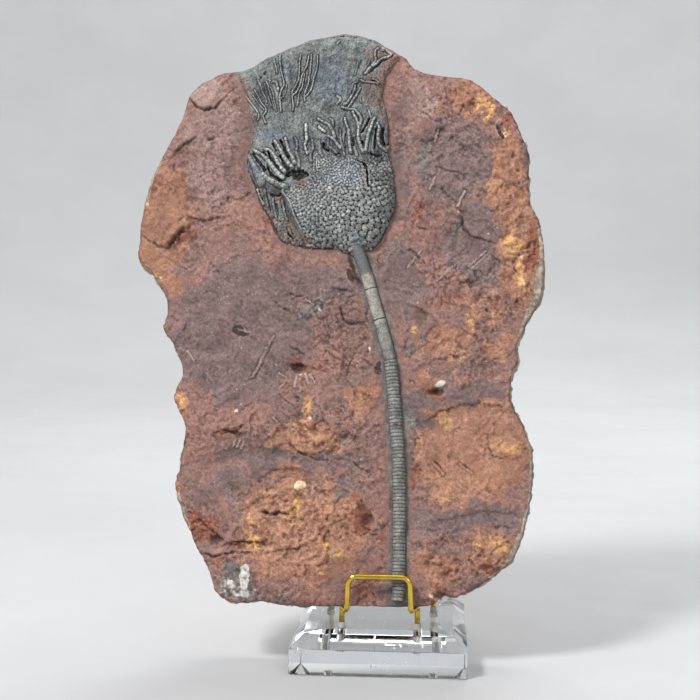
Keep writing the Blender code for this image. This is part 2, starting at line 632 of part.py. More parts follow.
def plate_lattice(loop, avoid):
    """Plate middles on a triangular lattice, and the pits between every three of them."""
    middles, pits = [], []
    row_height = PLATE_SPACING * math.sqrt(3) / 2
    low_u, low_v = min(p[0] for p in loop), min(p[1] for p in loop)
    columns = math.ceil((max(p[0] for p in loop) - low_u) / PLATE_SPACING)
    rows = math.ceil((max(p[1] for p in loop) - low_v) / row_height)
    for row in range(rows):
        for column in range(-1, columns):
            u = low_u + (column + row % 2 / 2) * PLATE_SPACING
            v = low_v + row * row_height
            middles.append(wandered(u, v))
            pits.append(wandered(u + PLATE_SPACING / 2, v + row_height / 3))
            pits.append(wandered(u + PLATE_SPACING, v + row_height * 2 / 3))
    return [[p for p in group if inside(p, loop) and all(nearest(p, line)[0] > 1.1 for line in avoid)]
            for group in (middles, pits)]


def make_calyx(parent):
    """The cup of plates, each a low boss with pits at its corners."""
    outline = calyx_outline()
    edge = closed(pocket_outline())
    cleft = ridge_chains((CLEFT,), outline)
    middles, pits = plate_lattice(outline, [closed(outline)] + cleft)
    bosses = {(round(u, 2), round(v, 2)): PLATE_RISE for u, v in middles}
    bosses.update({(round(u, 2), round(v, 2)): -PIT_DEPTH for u, v in pits})

    def height(u, v):
        raised = bosses.get((round(u, 2), round(v, 2)), 0.0)
        return crown_height(u, v, edge) + raised - ridge_heights(u, v, (CLEFT,))

    bm = relief(middles + pits, [closed(outline)] + cleft, lambda p: inside(p, outline), height)
    close_down(bm, edge_loops(bm)[0], PIECE_FLOOR)
    return finished(bm, "crinoid_calyx", material_named("crinoid_calyx"), parent)


def stem_stations():
    """(place, direction, radius) down the stem: even at the top, then close rings to its foot."""
    line = spline(STEM_LINE, 1.0)
    lengths = [0.0]
    for a, b in zip(line, line[1:]):
        lengths.append(lengths[-1] + math.dist(a, b))

    def at(walked):
        k = next((i for i, s in enumerate(lengths) if s >= walked), len(line) - 1)
        k = max(1, k)
        t = (walked - lengths[k - 1]) / (lengths[k] - lengths[k - 1])
        a, b = line[k - 1], line[k]
        size = math.dist(a, b)
        return ((a[0] + (b[0] - a[0]) * t, a[1] + (b[1] - a[1]) * t),
                ((b[0] - a[0]) / size, (b[1] - a[1]) / size))

    def walk_to(v):
        return next(s for s, p in zip(lengths, line) if p[1] <= v)

    stations = []
    joints = [0.0] + [walk_to(v) for v in STEM_JOINTS]
    for start, end in zip(joints, joints[1:]):
        parts = max(2, round((end - start) / STEM_STEP))
        for k in range(parts + 1):
            walked = start + (end - start) * k / parts
            walked += 0.5 if k == 0 and start else -0.5 if k == parts else 0.0
            stations.append((*at(walked), STEM_SMOOTH))
        stations.append((*at(end), STEM_SMOOTH - STEM_RING_DEPTH))
    rings = round((lengths[-1] - joints[-1]) / STEM_RING_PITCH)
    pitch = (lengths[-1] - joints[-1]) / rings
    for k in range(rings):
        stations.append((*at(joints[-1] + (k + 0.5) * pitch), STEM_RADIUS))
        stations.append((*at(joints[-1] + (k + 1) * pitch), STEM_RADIUS - STEM_RING_DEPTH))
    return stations


def make_stem(parent):
    """A round column of ringed joints, lying in its channel on a flat underside."""
    bm = bmesh.new()
    last = None
    foot = STEM_RADIUS - STEM_RING_DEPTH
    for (u, v), (du, dv), radius in stem_stations():
        places = [(radius * math.cos(math.radians(a)), STEM_AXIS + radius * math.sin(math.radians(a)))
                  for a in STEM_ARC]
        places += [(-foot, PIECE_FLOOR), (foot, PIECE_FLOOR)]
        ring = [bm.verts.new((u + dv * n, v - du * n, w)) for n, w in places]
        if last is None:
            bm.faces.new(ring)
        else:
            for i in range(len(ring)):
                k = (i + 1) % len(ring)
                bm.faces.new((last[i], last[k], ring[k], ring[i]))
        last = ring
    bm.faces.new(last)
    return finished(bm, "crinoid_stem", material_named("crinoid_stem"), parent)


# ---------------------------------------------------------------- stand

def rounded(corners, radii):
    """A path through the corners, each turned with its own bend radius."""
    path = [Vector(corners[0])]
    for before, corner, after, radius in zip(corners, corners[1:], corners[2:], radii):
        here = Vector(corner)
        inward = (Vector(before) - here).normalized()
        onward = (Vector(after) - here).normalized()
        half = inward.angle(onward) / 2
        reach = radius / math.tan(half)
        centre = here + (inward + onward).normalized() * radius / math.sin(half)
        start, end = here + inward * reach - centre, here + onward * reach - centre
        for k in range(BEND_STEPS + 1):
            path.append(centre + start.slerp(end, k / BEND_STEPS).normalized() * radius)
    path.append(Vector(corners[-1]))
    return path


def make_wire(name, half_corners, half_radii):
    """A bent wire, given from one foot to the middle of its bar, and mirrored."""
    mirrored = [(-x, y, z) for x, y, z in reversed(half_corners)]
    path = rounded(list(half_corners) + mirrored, list(half_radii) + list(reversed(half_radii)))
    curve = bpy.data.curves.new(name, "CURVE")
    curve.dimensions = "3D"
    curve.bevel_depth = WIRE_RADIUS * MM
    curve.bevel_resolution = 2
    curve.use_fill_caps = True
    run = curve.splines.new("POLY")
    run.points.add(len(path) - 1)
    for point, place in zip(run.points, path):
        point.co = (*(place * MM), 1.0)
    run.use_smooth = True
    return placed(curve, name, material_named(name))


def make_front_bracket():
    pin_x, pin_y = FRONT_PIN
    foot_z = BASE_HEIGHT - HOLE_DEPTH + 2 * GAP
    corners = ((-pin_x, pin_y, foot_z), (-pin_x, pin_y, SHELF_Z), (-LOOP_FOOT[0], LOOP_FOOT[1], SHELF_Z),
               (-LOOP_TOP[0], LOOP_TOP[1], LOOP_TOP[2]))
    return make_wire("front_bracket", corners, (SHELF_BEND, SHELF_BEND, BEND_RADIUS))


def make_rear_bracket():
    pin_x, pin_y = REAR_PIN
    foot_z = BASE_HEIGHT - HOLE_DEPTH + 2 * GAP
    corners = ((-pin_x, pin_y, foot_z), (-pin_x, pin_y, BACK_REST_FOOT_Z),
               (-BACK_REST[0], BACK_REST[1], BACK_REST[2]))
    return make_wire("rear_bracket", corners, (BEND_RADIUS * 2, BEND_RADIUS))


def pin_places():
    return {
        "front_left": (-FRONT_PIN[0], FRONT_PIN[1]),
        "front_right": FRONT_PIN,
        "rear_left": (-REAR_PIN[0], REAR_PIN[1]),
        "rear_right": REAR_PIN,
    }


def ring_of(bm, radius, z, sides=ROUND_SIDES):
    return [bm.verts.new((radius * math.cos(math.tau * k / sides), radius * math.sin(math.tau * k / sides), z))
            for k in range(sides)]


def make_sleeves():
    """A nylon tube around each pin, from near the bottom of its hole to just over the block."""
    low, high = BASE_HEIGHT - HOLE_DEPTH + GAP, BASE_HEIGHT + SLEEVE_RISE
    material = material_named("sleeve")
    for place, (x, y) in pin_places().items():
        bm = bmesh.new()
        rings = [ring_of(bm, r, z) for r, z in
                 ((SLEEVE_OUTER, low), (SLEEVE_OUTER, high), (SLEEVE_INNER, high), (SLEEVE_INNER, low))]
        for a, b in zip(rings, rings[1:] + rings[:1]):
            for i in range(ROUND_SIDES):
                k = (i + 1) % ROUND_SIDES
                bm.faces.new((a[i], a[k], b[k], b[i]))
        sleeve = finished(bm, f"sleeve_{place}", material)
        sleeve.location = (x * MM, y * MM, 0.0)
        sleeve.data.shade_smooth()
        sleeve.data.set_sharp_from_angle(angle=math.radians(40))


def make_hole_cutter():
    """The four blind holes for the sleeves, as one hidden cutter."""
    bm = bmesh.new()
    low, high = BASE_HEIGHT - HOLE_DEPTH, BASE_HEIGHT + 2
    for x, y in pin_places().values():
        rings = [ring_of(bm, HOLE_RADIUS, z, ROUND_SIDES) for z in (low, high)]
        for ring in rings:
            bmesh.ops.translate(bm, verts=ring, vec=(x, y, 0))
            bm.faces.new(ring)
        for i in range(ROUND_SIDES):
            k = (i + 1) % ROUND_SIDES
            bm.faces.new((rings[0][i], rings[0][k], rings[1][k], rings[1][i]))
    bmesh.ops.recalc_face_normals(bm, faces=bm.faces)
    bmesh.ops.scale(bm, vec=(MM, MM, MM), verts=bm.verts)
    mesh = bpy.data.meshes.new("hole_cutter")
    bm.to_mesh(mesh)
    bm.free()
    cutter = bpy.data.objects.new("hole_cutter", mesh)
    bpy.context.scene.collection.objects.link(cutter)
    cutter.hide_render = True
    cutter.display_type = "WIRE"
    return cutter


def make_base():
    """The clear block: upright sides, a wide bevel around its top, and four blind holes."""
    bm = bmesh.new()
    half = BASE_SIDE / 2
    levels = ((half, 0.0), (half, BASE_HEIGHT - BEVEL_DROP), (half - BEVEL_INSET, BASE_HEIGHT))
    rings = [[bm.verts.new((sx * h, sy * h, z)) for sx, sy in ((-1, -1), (1, -1), (1, 1), (-1, 1))]
             for h, z in levels]
    bm.faces.new(rings[0])
    bm.faces.new(rings[-1])
    for a, b in zip(rings, rings[1:]):
        for i in range(4):
            k = (i + 1) % 4
            bm.faces.new((a[i], a[k], b[k], b[i]))
    base = finished(bm, "acrylic_base", material_named("acrylic_base"))
    cut = base.modifiers.new("holes", "BOOLEAN")
    cut.operation = "DIFFERENCE"
    cut.solver = "EXACT"
    cut.object = make_hole_cutter()
    return base


def make_slab_frame():
    """An empty at the foot of the slab's face: X along it, Y up it, Z out of it."""
    frame = bpy.data.objects.new("slab_frame", None)
    bpy.context.scene.collection.objects.link(frame)
    frame.location = [value * MM for value in SLAB_FOOT]
    frame.rotation_euler = (math.pi / 2 - SLAB_LEAN, 0.0, 0.0)
    return frame


def main():
    for thing in list(bpy.data.objects):
        bpy.data.objects.remove(thing, do_unlink=True)
    frame = make_slab_frame()
    make_slab(frame)
    make_calyx(frame)
    make_arms(frame)
    make_stem(frame)
    make_base()
    make_front_bracket()
    make_rear_bracket()
    make_sleeves()
    bpy.context.view_layer.update()


main()
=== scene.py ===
"""The crinoid fossil as it looks: broken red limestone, the grey fossil in it, and its clear stand.

Sizes are in millimetres until they become mesh. The slab and the fossil are drawn in the slab's own
frame, as in the CAD: u to the right, v up the face, w out of the face.
"""

import math
import random

import bpy
import numpy as np
from mathutils import Matrix, Vector, kdtree, noise
from mathutils.bvhtree import BVHTree
from mathutils.geometry import delaunay_2d_cdt


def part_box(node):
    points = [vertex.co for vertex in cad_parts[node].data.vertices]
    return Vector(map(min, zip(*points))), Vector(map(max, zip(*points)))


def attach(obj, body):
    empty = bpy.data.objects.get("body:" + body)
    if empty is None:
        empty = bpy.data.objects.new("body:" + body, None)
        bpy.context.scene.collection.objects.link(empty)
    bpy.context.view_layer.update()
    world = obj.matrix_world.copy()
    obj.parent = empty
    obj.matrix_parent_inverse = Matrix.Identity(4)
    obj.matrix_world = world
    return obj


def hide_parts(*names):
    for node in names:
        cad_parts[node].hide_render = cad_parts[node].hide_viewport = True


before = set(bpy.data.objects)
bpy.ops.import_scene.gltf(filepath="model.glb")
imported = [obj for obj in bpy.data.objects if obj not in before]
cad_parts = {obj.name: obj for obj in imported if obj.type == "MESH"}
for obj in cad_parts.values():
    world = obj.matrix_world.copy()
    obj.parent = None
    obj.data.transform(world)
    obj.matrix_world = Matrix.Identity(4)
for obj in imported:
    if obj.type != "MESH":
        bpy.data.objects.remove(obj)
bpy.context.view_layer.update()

MM = 0.001
LEAN = math.radians(10)
FOOT = np.array((0.0, -36.6, 38.0))
ALONG = np.array((1.0, 0.0, 0.0))
UP = np.array((0.0, math.sin(LEAN), math.cos(LEAN)))
OUT = np.array((0.0, -math.cos(LEAN), math.sin(LEAN)))

BASE_SIDE, BASE_HEIGHT = 101.6, 22.0
BEVEL_INSET, BEVEL_DROP = 7.7, 7.1
WIRE_RADIUS, SLEEVE_INNER, SLEEVE_OUTER, HOLE_RADIUS = 1.6, 1.9, 2.2, 2.5
SLEEVE_RISE, HOLE_DEPTH, GAP = 3.0, 12.3, 0.3
FRONT_PIN, REAR_PIN = (22.0, -28.0), (31.3, 7.5)
SHELF_Z = 34.7
PIECE_FLOOR = -4.0

SLAB_OUTLINE = (
    (-25, 339), (-8, 335.5), (1, 330), (11, 324.5), (18, 316.5), (32, 313), (50, 310.5), (61, 303),
    (75, 290), (80, 279), (85, 267), (86, 250), (86, 236), (92, 223), (95, 203), (93, 180), (84, 162),
    (79, 150), (79.5, 142), (75.5, 130), (76.5, 116), (82, 105), (88, 89), (88, 70), (86, 55), (80, 33),
    (74, 23), (58, 11), (45, 4.5), (38, 5.5), (32, 0.5), (25, -.8), (15, -1.2), (5, -1.6), (-15, -1.4), (-25, -1.8),
    (-33, -2), (-53, -2), (-70, -0.5), (-84, -2), (-94, 3), (-98, 10), (-102, 20), (-109, 33),
    (-117, 50), (-121.5, 66), (-118, 86), (-117, 103), (-124, 117), (-119, 133), (-125, 149),
    (-131.5, 159), (-129, 173), (-139, 192), (-146, 197), (-148, 205), (-145.5, 230), (-141, 249),
    (-134, 265), (-125, 283), (-119, 302), (-108, 311), (-95, 316), (-85, 317), (-73, 324),
    (-58, 330.5), (-47, 335), (-38, 337),
)
CROWN_RIGHT = (
    (-25, 337), (-8.5, 333.6), (0, 328), (7.5, 324), (4, 318), (1, 312), (-1, 306), (-2, 299),
    (0, 292), (1.5, 285), (2, 276), (2, 265),
)
CALYX_RIGHT = (
    (4, 257), (5.2, 250), (6.5, 240), (6, 231), (3.5, 224.5), (0.5, 217), (-3, 210.5), (-7.5, 206.5),
)
CALYX_LEFT = ((-24, 205.5), (-30, 207.5), (-37, 207.5), (-43, 207.8))
CROWN_LEFT = (
    (-51, 209), (-60, 211.5), (-64.5, 217), (-69, 227), (-74, 234), (-77.5, 245), (-80.5, 250.5),
    (-82.5, 256), (-82.5, 265), (-80, 273), (-79.5, 281), (-82, 290), (-84.5, 301), (-88, 308),
    (-89, 313.2), (-84, 315.2), (-72, 322.2), (-57.5, 328.6), (-46.5, 333.2), (-37.5, 335.2),
)
CALYX_TOP = (
    (-47.5, 215), (-51.5, 222), (-54.5, 229), (-57, 235), (-60, 240.5), (-55.5, 243.6), (-46, 245),
    (-43, 252), (-41, 259), (-36, 260), (-28, 258.5), (-20, 261), (-14, 258.5), (-7, 257.5), (-2, 260),
)
# (v, height of the crown over the face, how far in from its edge it gets there)
CROWN_RISE = (
    (203, 2.6, 6), (212, 6.0, 11), (226, 8.8, 15), (240, 9.6, 16), (252, 8.6, 14), (262, 6.4, 11),
    (278, 4.4, 8), (300, 2.0, 6), (340, 0.9, 5),
)
FLANK_DROP = 0.28

# Ridges, as (half width at the root, at the tip, rise, how strong the painted highlight on its crest is, middle line).
RIDGES = (
    (1.5, 1.0, 1.6, .9, ((-60, 248), (-63.5, 251.5), (-67.5, 256.5), (-71, 260.8), (-74.5, 263.3),
                         (-78, 265.6))),
    (1.3, 0.9, 1.5, .9, ((-58.5, 251.5), (-61.5, 254.5), (-63.5, 257.5), (-65, 261), (-67.5, 264.3),
                         (-71, 266))),
    (1.3, 0.9, 1.5, .8, ((-54.5, 254.5), (-57.5, 257.8), (-59.8, 261), (-61.5, 264.5), (-63.5, 267.8),
                         (-65.5, 271))),
    (1.3, 0.9, 1.4, .7, ((-53, 257), (-54.3, 260), (-56.5, 264), (-57.8, 267), (-58.5, 270),
                         (-59.5, 273))),
    (1.6, 1.2, 1.3, .9, ((-58, 242.5), (-62, 244), (-66, 245.8), (-69.5, 248), (-72, 250.5))),
    (2.8, 0.9, 1.6, .55, ((-73.5, 246.8), (-75, 250), (-77, 254), (-79.3, 258.5), (-81.3, 263))),
    (0.45, 0.4, 0.6, .8, ((-70.2, 251), (-70.3, 260))),
    (1.0, 0.9, 1.2, .6, ((-54, 257.2), (-54.2, 260.8))),
    (0.9, 0.9, 0.9, .7, ((-62.9, 262.2), (-61.8, 263))),
    (1.0, 1.0, 1.4, 1.25, ((-47.3, 281.5), (-47, 276), (-46.5, 272))),
    (0.8, 0.8, 1.2, .95, ((-46.5, 272), (-47.5, 268.5), (-47, 266), (-46, 263))),
    (0.5, 0.4, 0.6, .9, ((-40.5, 258.5), (-40, 255), (-39.5, 252))),
    (1.15, 0.9, 1.4, .8, ((-25.5, 266.5), (-28, 268.5), (-30.5, 272), (-33.5, 274))),
    (1.1, 0.8, 1.3, .8, ((-29.6, 272.8), (-31.5, 278), (-33.5, 281), (-37, 283), (-40, 285))),
    (0.7, 0.6, 1.0, .6, ((-31, 280.5), (-31.2, 283.5), (-33, 285))),
    (1.0, 0.9, 1.3, 1.1, ((-39.5, 280), (-37.5, 278), (-35.8, 277))),
    (1.1, 0.8, 1.4, .8, ((-20, 264), (-20.8, 268), (-21.3, 272), (-21.5, 276), (-22, 279),
                         (-23.5, 282.5), (-24, 285.5))),
    (1.1, 0.8, 1.5, .85, ((-12.5, 264), (-14.5, 268), (-15.7, 272), (-16, 276), (-16, 280),
                          (-16.5, 283), (-18, 286), (-19.5, 289))),
    (0.95, 0.65, 1.2, .75, ((-15.5, 280.5), (-14.5, 283), (-14.3, 285), (-16, 288), (-18.5, 290.5),
                            (-22, 291), (-26, 292))),
    (1.1, 0.9, 1.5, .85, ((-11.3, 264), (-11, 268), (-10.5, 272), (-9.7, 276), (-8.5, 280),
                          (-7.3, 284), (-6, 285.5))),
    (0.6, 0.5, 0.7, .6, ((-8.5, 286), (-10, 290), (-10.5, 292))),
    (1.1, 0.8, 1.4, .85, ((2, 269), (0.5, 266.5), (-2.5, 268), (-4, 271), (-4.2, 275), (-3.5, 279),
                          (-4.5, 282))),
    (1.0, 0.8, 1.1, .5, ((-37, 262), (-38.5, 264), (-38.5, 267), (-39, 271))),
    (0.9, 0.7, 0.9, .5, ((-27, 262), (-31, 266), (-33.5, 268.5), (-34, 272))),
    (0.9, 0.7, 0.9, .5, ((-43.5, 258), (-44, 262), (-42.5, 267), (-43.5, 272))),
    (0.9, 0.7, 0.9, .45, ((-50.5, 255), (-51, 260), (-52.5, 264), (-52, 269), (-53.5, 273))),
    (0.8, 0.6, 0.9, .5, ((-24, 262), (-24.5, 266), (-26.5, 272), (-26.5, 278))),
    (0.8, 0.6, 0.9, .5, ((-16.5, 262), (-17.8, 266), (-18.5, 270), (-18.6, 275))),
    (0.8, 0.6, 0.9, .5, ((-6.5, 261), (-7.2, 266), (-7, 271), (-6.2, 276), (-5.8, 280))),
    (0.7, 0.6, 0.8, .9, ((-76.5, 243.5), (-74.8, 238.5), (-72.4, 234.2))),
    (0.5, 0.45, 0.6, .9, ((-78.8, 245.5), (-77, 241.5), (-75.6, 237.5), (-74, 235))),
    (0.8, 0.6, 0.8, .4, ((-71.5, 242), (-71, 238), (-69.6, 233))),
    (0.8, 0.6, 0.8, .45, ((-66.5, 237), (-65.8, 231), (-64.2, 225))),
    (0.8, 0.6, 0.8, .4, ((-60.8, 236), (-59.3, 229), (-57.6, 224))),
    (0.7, 0.6, 0.7, .4, ((-57, 219), (-54, 213.5))),
    (0.7, 0.5, 0.8, .9, ((-60.5, 240), (-58, 237), (-56.5, 235), (-55, 232), (-52.5, 225), (-48, 216.5))),
)
# The thin ends of the arms over the fan, in the same way.
TIPS = (
    (0.55, 0.45, .9, .75, ((-77, 284.8), (-75.8, 286), (-76, 288), (-77.5, 290.5), (-80, 294),
                           (-82.5, 297), (-84, 300))),
    (0.45, 0.4, .8, .6, ((-72.5, 290.5), (-75, 293), (-77.5, 296.5), (-80, 300))),
    (0.55, 0.45, .9, .75, ((-71.5, 282), (-72.5, 284.5), (-73.3, 287), (-72, 288.5), (-71.3, 290),
                           (-72, 292), (-74.5, 295), (-76.5, 299), (-79, 303))),
    (0.45, 0.4, .8, .6, ((-71, 295), (-72.5, 299), (-74.5, 303), (-75.5, 306.5), (-77.5, 309.5))),
    (0.45, 0.4, .8, .6, ((-68.5, 293), (-69.5, 296), (-70.5, 299), (-72, 303), (-73, 307))),
    (0.45, 0.4, .8, .6, ((-66.5, 291), (-67.5, 294.5), (-69, 299.5), (-70, 303), (-71.5, 308))),
    (0.45, 0.4, .8, .6, ((-65.5, 290), (-66, 293), (-67, 297), (-67.5, 301), (-69.5, 305))),
    (0.6, 0.45, 1., .85, ((-62.5, 289.5), (-63, 294), (-63.5, 299), (-62.8, 303), (-61.3, 305.5),
                          (-61.2, 308), (-62.5, 312.5), (-63.3, 316), (-64, 322), (-64.2, 326))),
    (0.5, 0.4, .7, .6, ((-63, 297.5), (-61, 299.5), (-60, 302), (-59.8, 306))),
    (0.5, 0.4, .8, .7, ((-65.5, 313.5), (-66, 316.5), (-67, 319.5), (-67.8, 323))),
    (0.9, 0.7, .9, .7, ((-68, 308), (-66, 308), (-65, 305), (-64.5, 303))),
    (0.6, 0.45, 1., .9, ((-55.5, 290), (-55.3, 295), (-56, 299.5), (-54, 301), (-52.3, 304),
                         (-51, 308), (-50.3, 312), (-48.7, 315.5), (-47.5, 319), (-46.5, 324))),
    (0.5, 0.45, .9, .7, ((-56.5, 300.5), (-55.5, 303), (-53.5, 306.5), (-52.3, 311), (-52, 317),
                         (-52, 321), (-51.3, 325))),
    (0.55, 0.45, .9, .8, ((-52.8, 293), (-52.3, 297), (-52, 301), (-50.3, 304.5), (-49.5, 309),
                          (-49, 313))),
    (0.55, 0.45, .9, .8, ((-49, 299), (-48.5, 301), (-46.7, 306), (-46, 311), (-45.3, 318),
                          (-45, 325))),
    (0.55, 0.45, .9, .8, ((-48.3, 296), (-48.5, 298.5), (-46.5, 300.5), (-44.5, 304), (-43.5, 309),
                          (-42, 314), (-41.3, 319), (-41.3, 324))),
    (0.8, 0.55, 1., .8, ((-24.5, 293.5), (-22, 296.5), (-20, 300), (-18.7, 303), (-18.2, 305.5))),
    (0.7, 0.5, .9, .75, ((-22.3, 292), (-20, 295.5), (-17.8, 299), (-16, 302.5), (-15.3, 304))),
    (0.7, 0.5, .9, .6, ((-15.2, 309), (-13, 308), (-9, 307.5), (-5, 306.5))),
    (0.5, 0.45, .8, .6, ((-8.5, 309.5), (-6, 309), (-4, 307))),
    (0.8, 0.6, 1., .8, ((-12.5, 313), (-10, 316), (-8, 318.5), (-6.3, 321), (-6.8, 324), (-6.5, 327),
                        (-5, 328.5))),
    (0.8, 0.7, 1., .9, ((-7.5, 317.5), (-4.5, 320.5), (-2, 322.5), (1, 323), (3, 325))),
    (1.3, 1.0, 1., .9, ((-2, 328), (-1, 331), (1, 327), (3, 325.5))),
    (0.5, 0.4, .7, .5, ((-11, 318.5), (-9.5, 321))),
    (0.5, 0.4, .7, .5, ((-18.5, 312), (-17.5, 317), (-17, 320))),
    (0.5, 0.4, .6, .5, ((-20, 306.5), (-16.5, 308))),
    (0.5, 0.4, .6, .5, ((-15, 299), (-14.5, 295))),
    (0.8, 0.6, .8, .9, ((-29, 299), (-27, 297), (-29, 294))),
    (0.7, 0.6, .7, 1., ((-29.5, 331.5), (-28.5, 333))),
)
# Deep gaps, as (half width at both ends, depth, middle line).
GAPS = (
    (0.7, 1.25, 2.6, ((-78.8, 263.8), (-76, 259.6), (-73, 256), (-70.9, 253))),
    (0.6, 0.95, 2.4, ((-69.2, 264.5), (-68.3, 261.5), (-66.3, 258.3), (-62.8, 254))),
    (0.6, 1.2, 2.6, ((-69, 254.6), (-68.2, 251.8), (-66, 249.5), (-63.5, 247.8), (-61.5, 246))),
    (0.5, 1.0, 2.3, ((-62.6, 262.5), (-60.8, 259), (-58.8, 255), (-56.5, 252.5))),
    (0.9, 0.8, 2.2, ((-62.3, 271.5), (-60.5, 268), (-59, 264.8), (-56.8, 261))),
    (0.6, 0.6, 1.6, ((-67, 269.6), (-65.6, 267.2), (-64.6, 265))),
    (0.6, 0.6, 1.4, ((-72.5, 264.5), (-70.3, 262))),
    (0.7, 0.8, 2.0, ((-14, 276.5), (-12, 280), (-10.5, 283), (-9.8, 285))),
    (0.6, 0.6, 1.6, ((-13.5, 271), (-12.5, 268))),
    (0.8, 0.8, 1.9, ((-36.5, 269.5), (-35.5, 266), (-33.5, 265))),
    (0.9, 1.0, 1.8, ((-1.4, 279), (-1.8, 274), (-0.6, 270.2))),
    (0.6, 0.7, 1.6, ((-19, 273), (-18.4, 268.4))),
    (0.5, 0.7, 1.4, ((-5.6, 279), (-6, 273), (-6, 267))),
    (0.8, 1.0, 1.3, ((-9, 263.5), (-6, 262), (-2, 262.6))),
    (0.5, 0.5, 1.2, ((-29, 262.6), (-26.5, 263.2))),
    (0.4, 0.4, 1.1, ((-23.3, 276), (-23.8, 271), (-23.2, 267))),
    (1.0, 0.7, 1.3, ((-67.5, 239.5), (-64.5, 238.6), (-61.5, 239.6))),
    (0.4, 0.5, 0.9, ((-69, 236), (-68.4, 232), (-67.6, 229))),
    (0.5, 0.5, 0.9, ((-64.4, 234), (-62.8, 227))), (0.6, 0.5, 1.1, ((-57, 216), (-54, 213))),
    (0.6, 0.6, 0.8, ((-10, 313.5), (-7, 316.5), (-3, 320), (0, 321.5))),
    (0.5, 0.5, 0.7, ((-16.5, 316), (-15, 321))),
    (0.4, 0.4, 0.6, ((-3.5, 302), (-1.5, 300), (1, 297))),
    (0.9, 0.9, 0.8, ((-73, 313), (-72.6, 314))),
    (0.7, 0.7, 0.7, ((-71, 319), (-70.6, 320))),
    (0.6, 0.6, 0.7, ((-75.5, 310), (-75, 311))),
    (0.6, 0.6, 0.7, ((-66, 324), (-66, 328))),
    (0.5, 0.5, 0.7, ((-8, 308.5), (-7.2, 308.4))),
)
CLEFT = (1.0, .35, 2.6, ((-15.5, 259.5), (-13, 258), (-10.8, 254.5), (-10.2, 251), (-9.8, 247), (-9, 242.5)))

STEM_LINE = (
    (-14.6, 204.4), (-9.5, 190), (-6.5, 180), (-0.5, 160), (4.7, 140), (7, 120), (8.7, 100), (10.3, 80),
    (11, 60), (11.2, 40), (11.2, 20), (10.8, 2.2),
)
STEM_RADIUS, STEM_SMOOTH, STEM_AXIS = 3.9, 3.65, -0.2
STEM_JOINTS = (183.0, 165.0, 141.0)
RING_PITCH = 2.05

